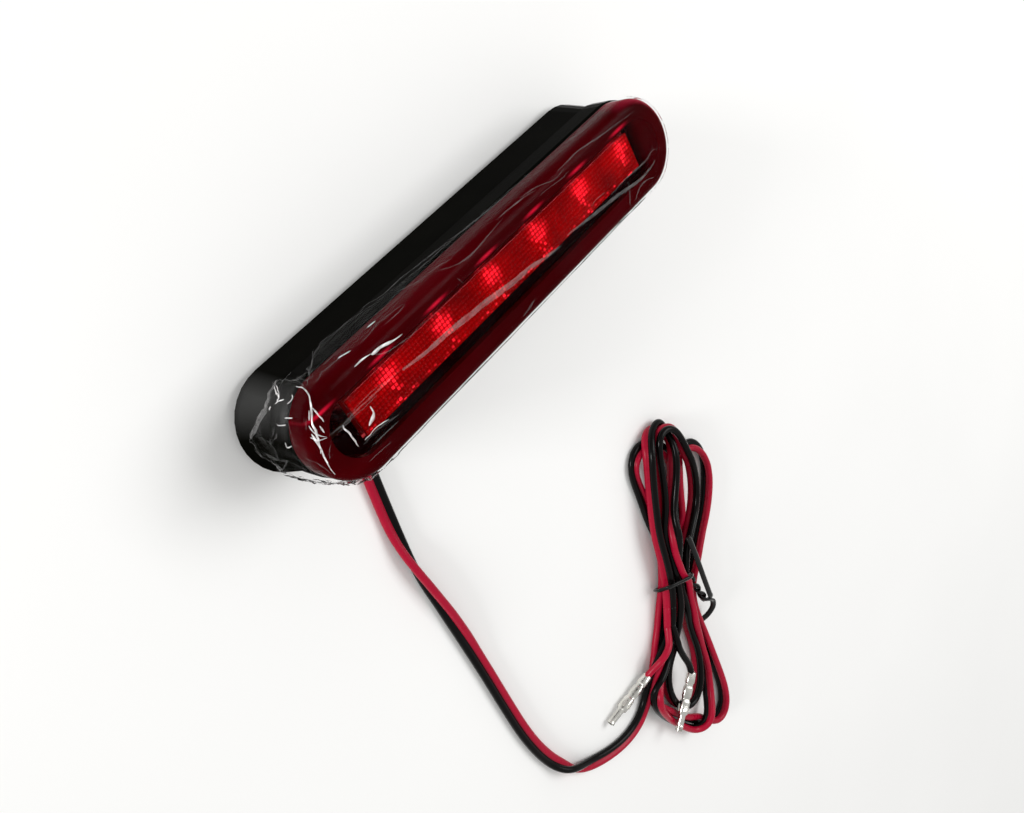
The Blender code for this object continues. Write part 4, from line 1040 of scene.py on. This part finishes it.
def film_sheet():
    """Clear film over the lens: folded along the lamp, crumpled and hanging at the near end."""
    places = film_places()
    count = len(places)
    verts = [film_point(k, *at) for k in range(FILM_ROWS) for at in places]
    faces = []
    for k in range(FILM_ROWS - 1):
        for i in range(count):
            j = (i + 1) % count
            faces.append((k * count + i, (k + 1) * count + i, (k + 1) * count + j, k * count + j))
    hem = verts[-count:]
    kinds = [0] * len(faces)
    for width, kind, points in FILM_FOLDS:
        points = full_rows(points, (0, 0, 10 * FILM_TOP)) / 10
        add_fold(verts, faces, kinds, points, width, kind)
    add_fold(verts, faces, kinds, np.array(hem[HEM_FOLD]), 0.3, 0)
    sheet = make_mesh("film_sheet", verts, faces, closed=False)
    # painted highlights: thin fold lines, bright glints and broad streaks, painted milky white on
    # the raised fold ribbons
    for finish in (film("clear_film"), painted_fold_highlight("painted_fold_highlight", 0.07), painted_fold_highlight("film_glint", 0.8),
                   painted_fold_highlight("film_broad_highlight", 0.1)):
        sheet.data.materials.append(finish)
    if len(kinds) == len(sheet.data.polygons):
        sheet.data.polygons.foreach_set("material_index", kinds)
    sheet.data.set_sharp_from_angle(angle=math.radians(24))
    return place(sheet, None, ("protective_film",))


def add_fold(verts, faces, kinds, points, width, kind):
    """Add one fold as a thin raised ribbon that lies on the film, coloured milky white as a painted
    highlight.
    """
    line = resample(catmull(points, 8), 0.5)
    ahead = unit(np.gradient(line, axis=0))
    base = len(verts)
    for i, (p, a) in enumerate(zip(line, ahead)):
        out, away = film_form(*p)
        out = np.array(out)
        p = p - out * away + out * (film_lift(*p) + 0.03)
        side = np.cross(a, out)
        side /= max(np.linalg.norm(side), 1e-6)
        t = i / (len(line) - 1)
        half = 0.5 * width * math.sin(math.pi * min(1.0, 0.04 + 0.94 * t)) ** 0.5
        uneven = noise.noise((p[0] * 0.4, p[1] * 0.4, p[2] * 0.4 + width))
        half *= 0.8 + (0.15 if kind == 2 else 0.6) * uneven
        height = min(0.3, 0.45 * half) + 0.03
        verts += [tuple(p + side * half), tuple(p + out * height), tuple(p - side * half)]
    for i in range(len(line) - 1):
        for j in (0, 1):
            first = base + 3 * i + j
            faces.append((first, first + 1, first + 4, first + 3))
            kinds.append(kind + 1)


# ---- floor, light, camera ----

def stage():
    """Floor, soft light and the camera."""
    corners = [(x * FLOOR_HALF, y * FLOOR_HALF, 0) for x, y in ((-1, -1), (1, -1), (1, 1), (-1, 1))]
    floor = make_mesh("floor", corners, [(0, 1, 2, 3)], smooth=False, closed=False)
    floor.data.materials.append(pale_floor())
    floor.location.z = FLOOR_Z
    scene = bpy.context.scene
    scene.view_settings.view_transform = "Standard"
    world = bpy.data.worlds.new("studio")
    scene.world = world
    world.use_nodes = True
    background = world.node_tree.nodes["Background"]
    background.inputs["Color"].default_value = WORLD_COLOUR
    background.inputs["Strength"].default_value = WORLD_STRENGTH
    for light in LIGHTS:
        lamp(*light)
    camera_data = bpy.data.cameras.new("camera")
    camera = bpy.data.objects.new("camera", camera_data)
    scene.collection.objects.link(camera)
    camera_data.sensor_width = SENSOR
    camera_data.lens = SENSOR * FOCAL_PIXELS / IMAGE_WIDTH
    camera_data.clip_start, camera_data.clip_end = CLIP
    sides = (Vector(CAMERA_RIGHT), -Vector(CAMERA_DOWN), -Vector(CAMERA_FORWARD))
    turn = Matrix([[side[i] for side in sides] for i in range(3)])
    camera.matrix_world = Matrix.Translation(Vector(CAMERA_AT) * MM) @ turn.to_4x4()
    scene.camera = camera


def lamp(name, at, towards, size, power):
    """A square soft light that looks at a point."""
    data = bpy.data.lights.new(name, "AREA")
    data.size = size
    data.energy = power
    obj = bpy.data.objects.new(name, data)
    bpy.context.scene.collection.objects.link(obj)
    obj.location = at
    obj.rotation_euler = (Vector(towards) - Vector(at)).to_track_quat("-Z", "Y").to_euler()


stage()
dress_nodes()
red_core, black_core = relaxed_lead()
cord, cord_line = lead(red_core, black_core)
red_tail, red_line = tail("tail_red_core", red_core, RED_TAIL, "tail_red", "red_pvc")
black_tail, black_line = tail("tail_black_core", black_core, BLACK_TAIL, "tail_black", "black_pvc")
red_terminal = terminal("terminal_red_crimp", red_line[-1], RED_TIP, "terminal_red",
                        (0.0, 1.0, 0.35))
black_terminal = terminal("terminal_black_crimp", black_line[-1], BLACK_TIP, "terminal_black",
                          (-0.3, 0.3, 0.9))
tie_loop, tie_knot = twist_tie(red_core, black_core)
tie_ends = tie_tails(tie_knot)
lens()
lens_strip()
wrap = film_sheet()
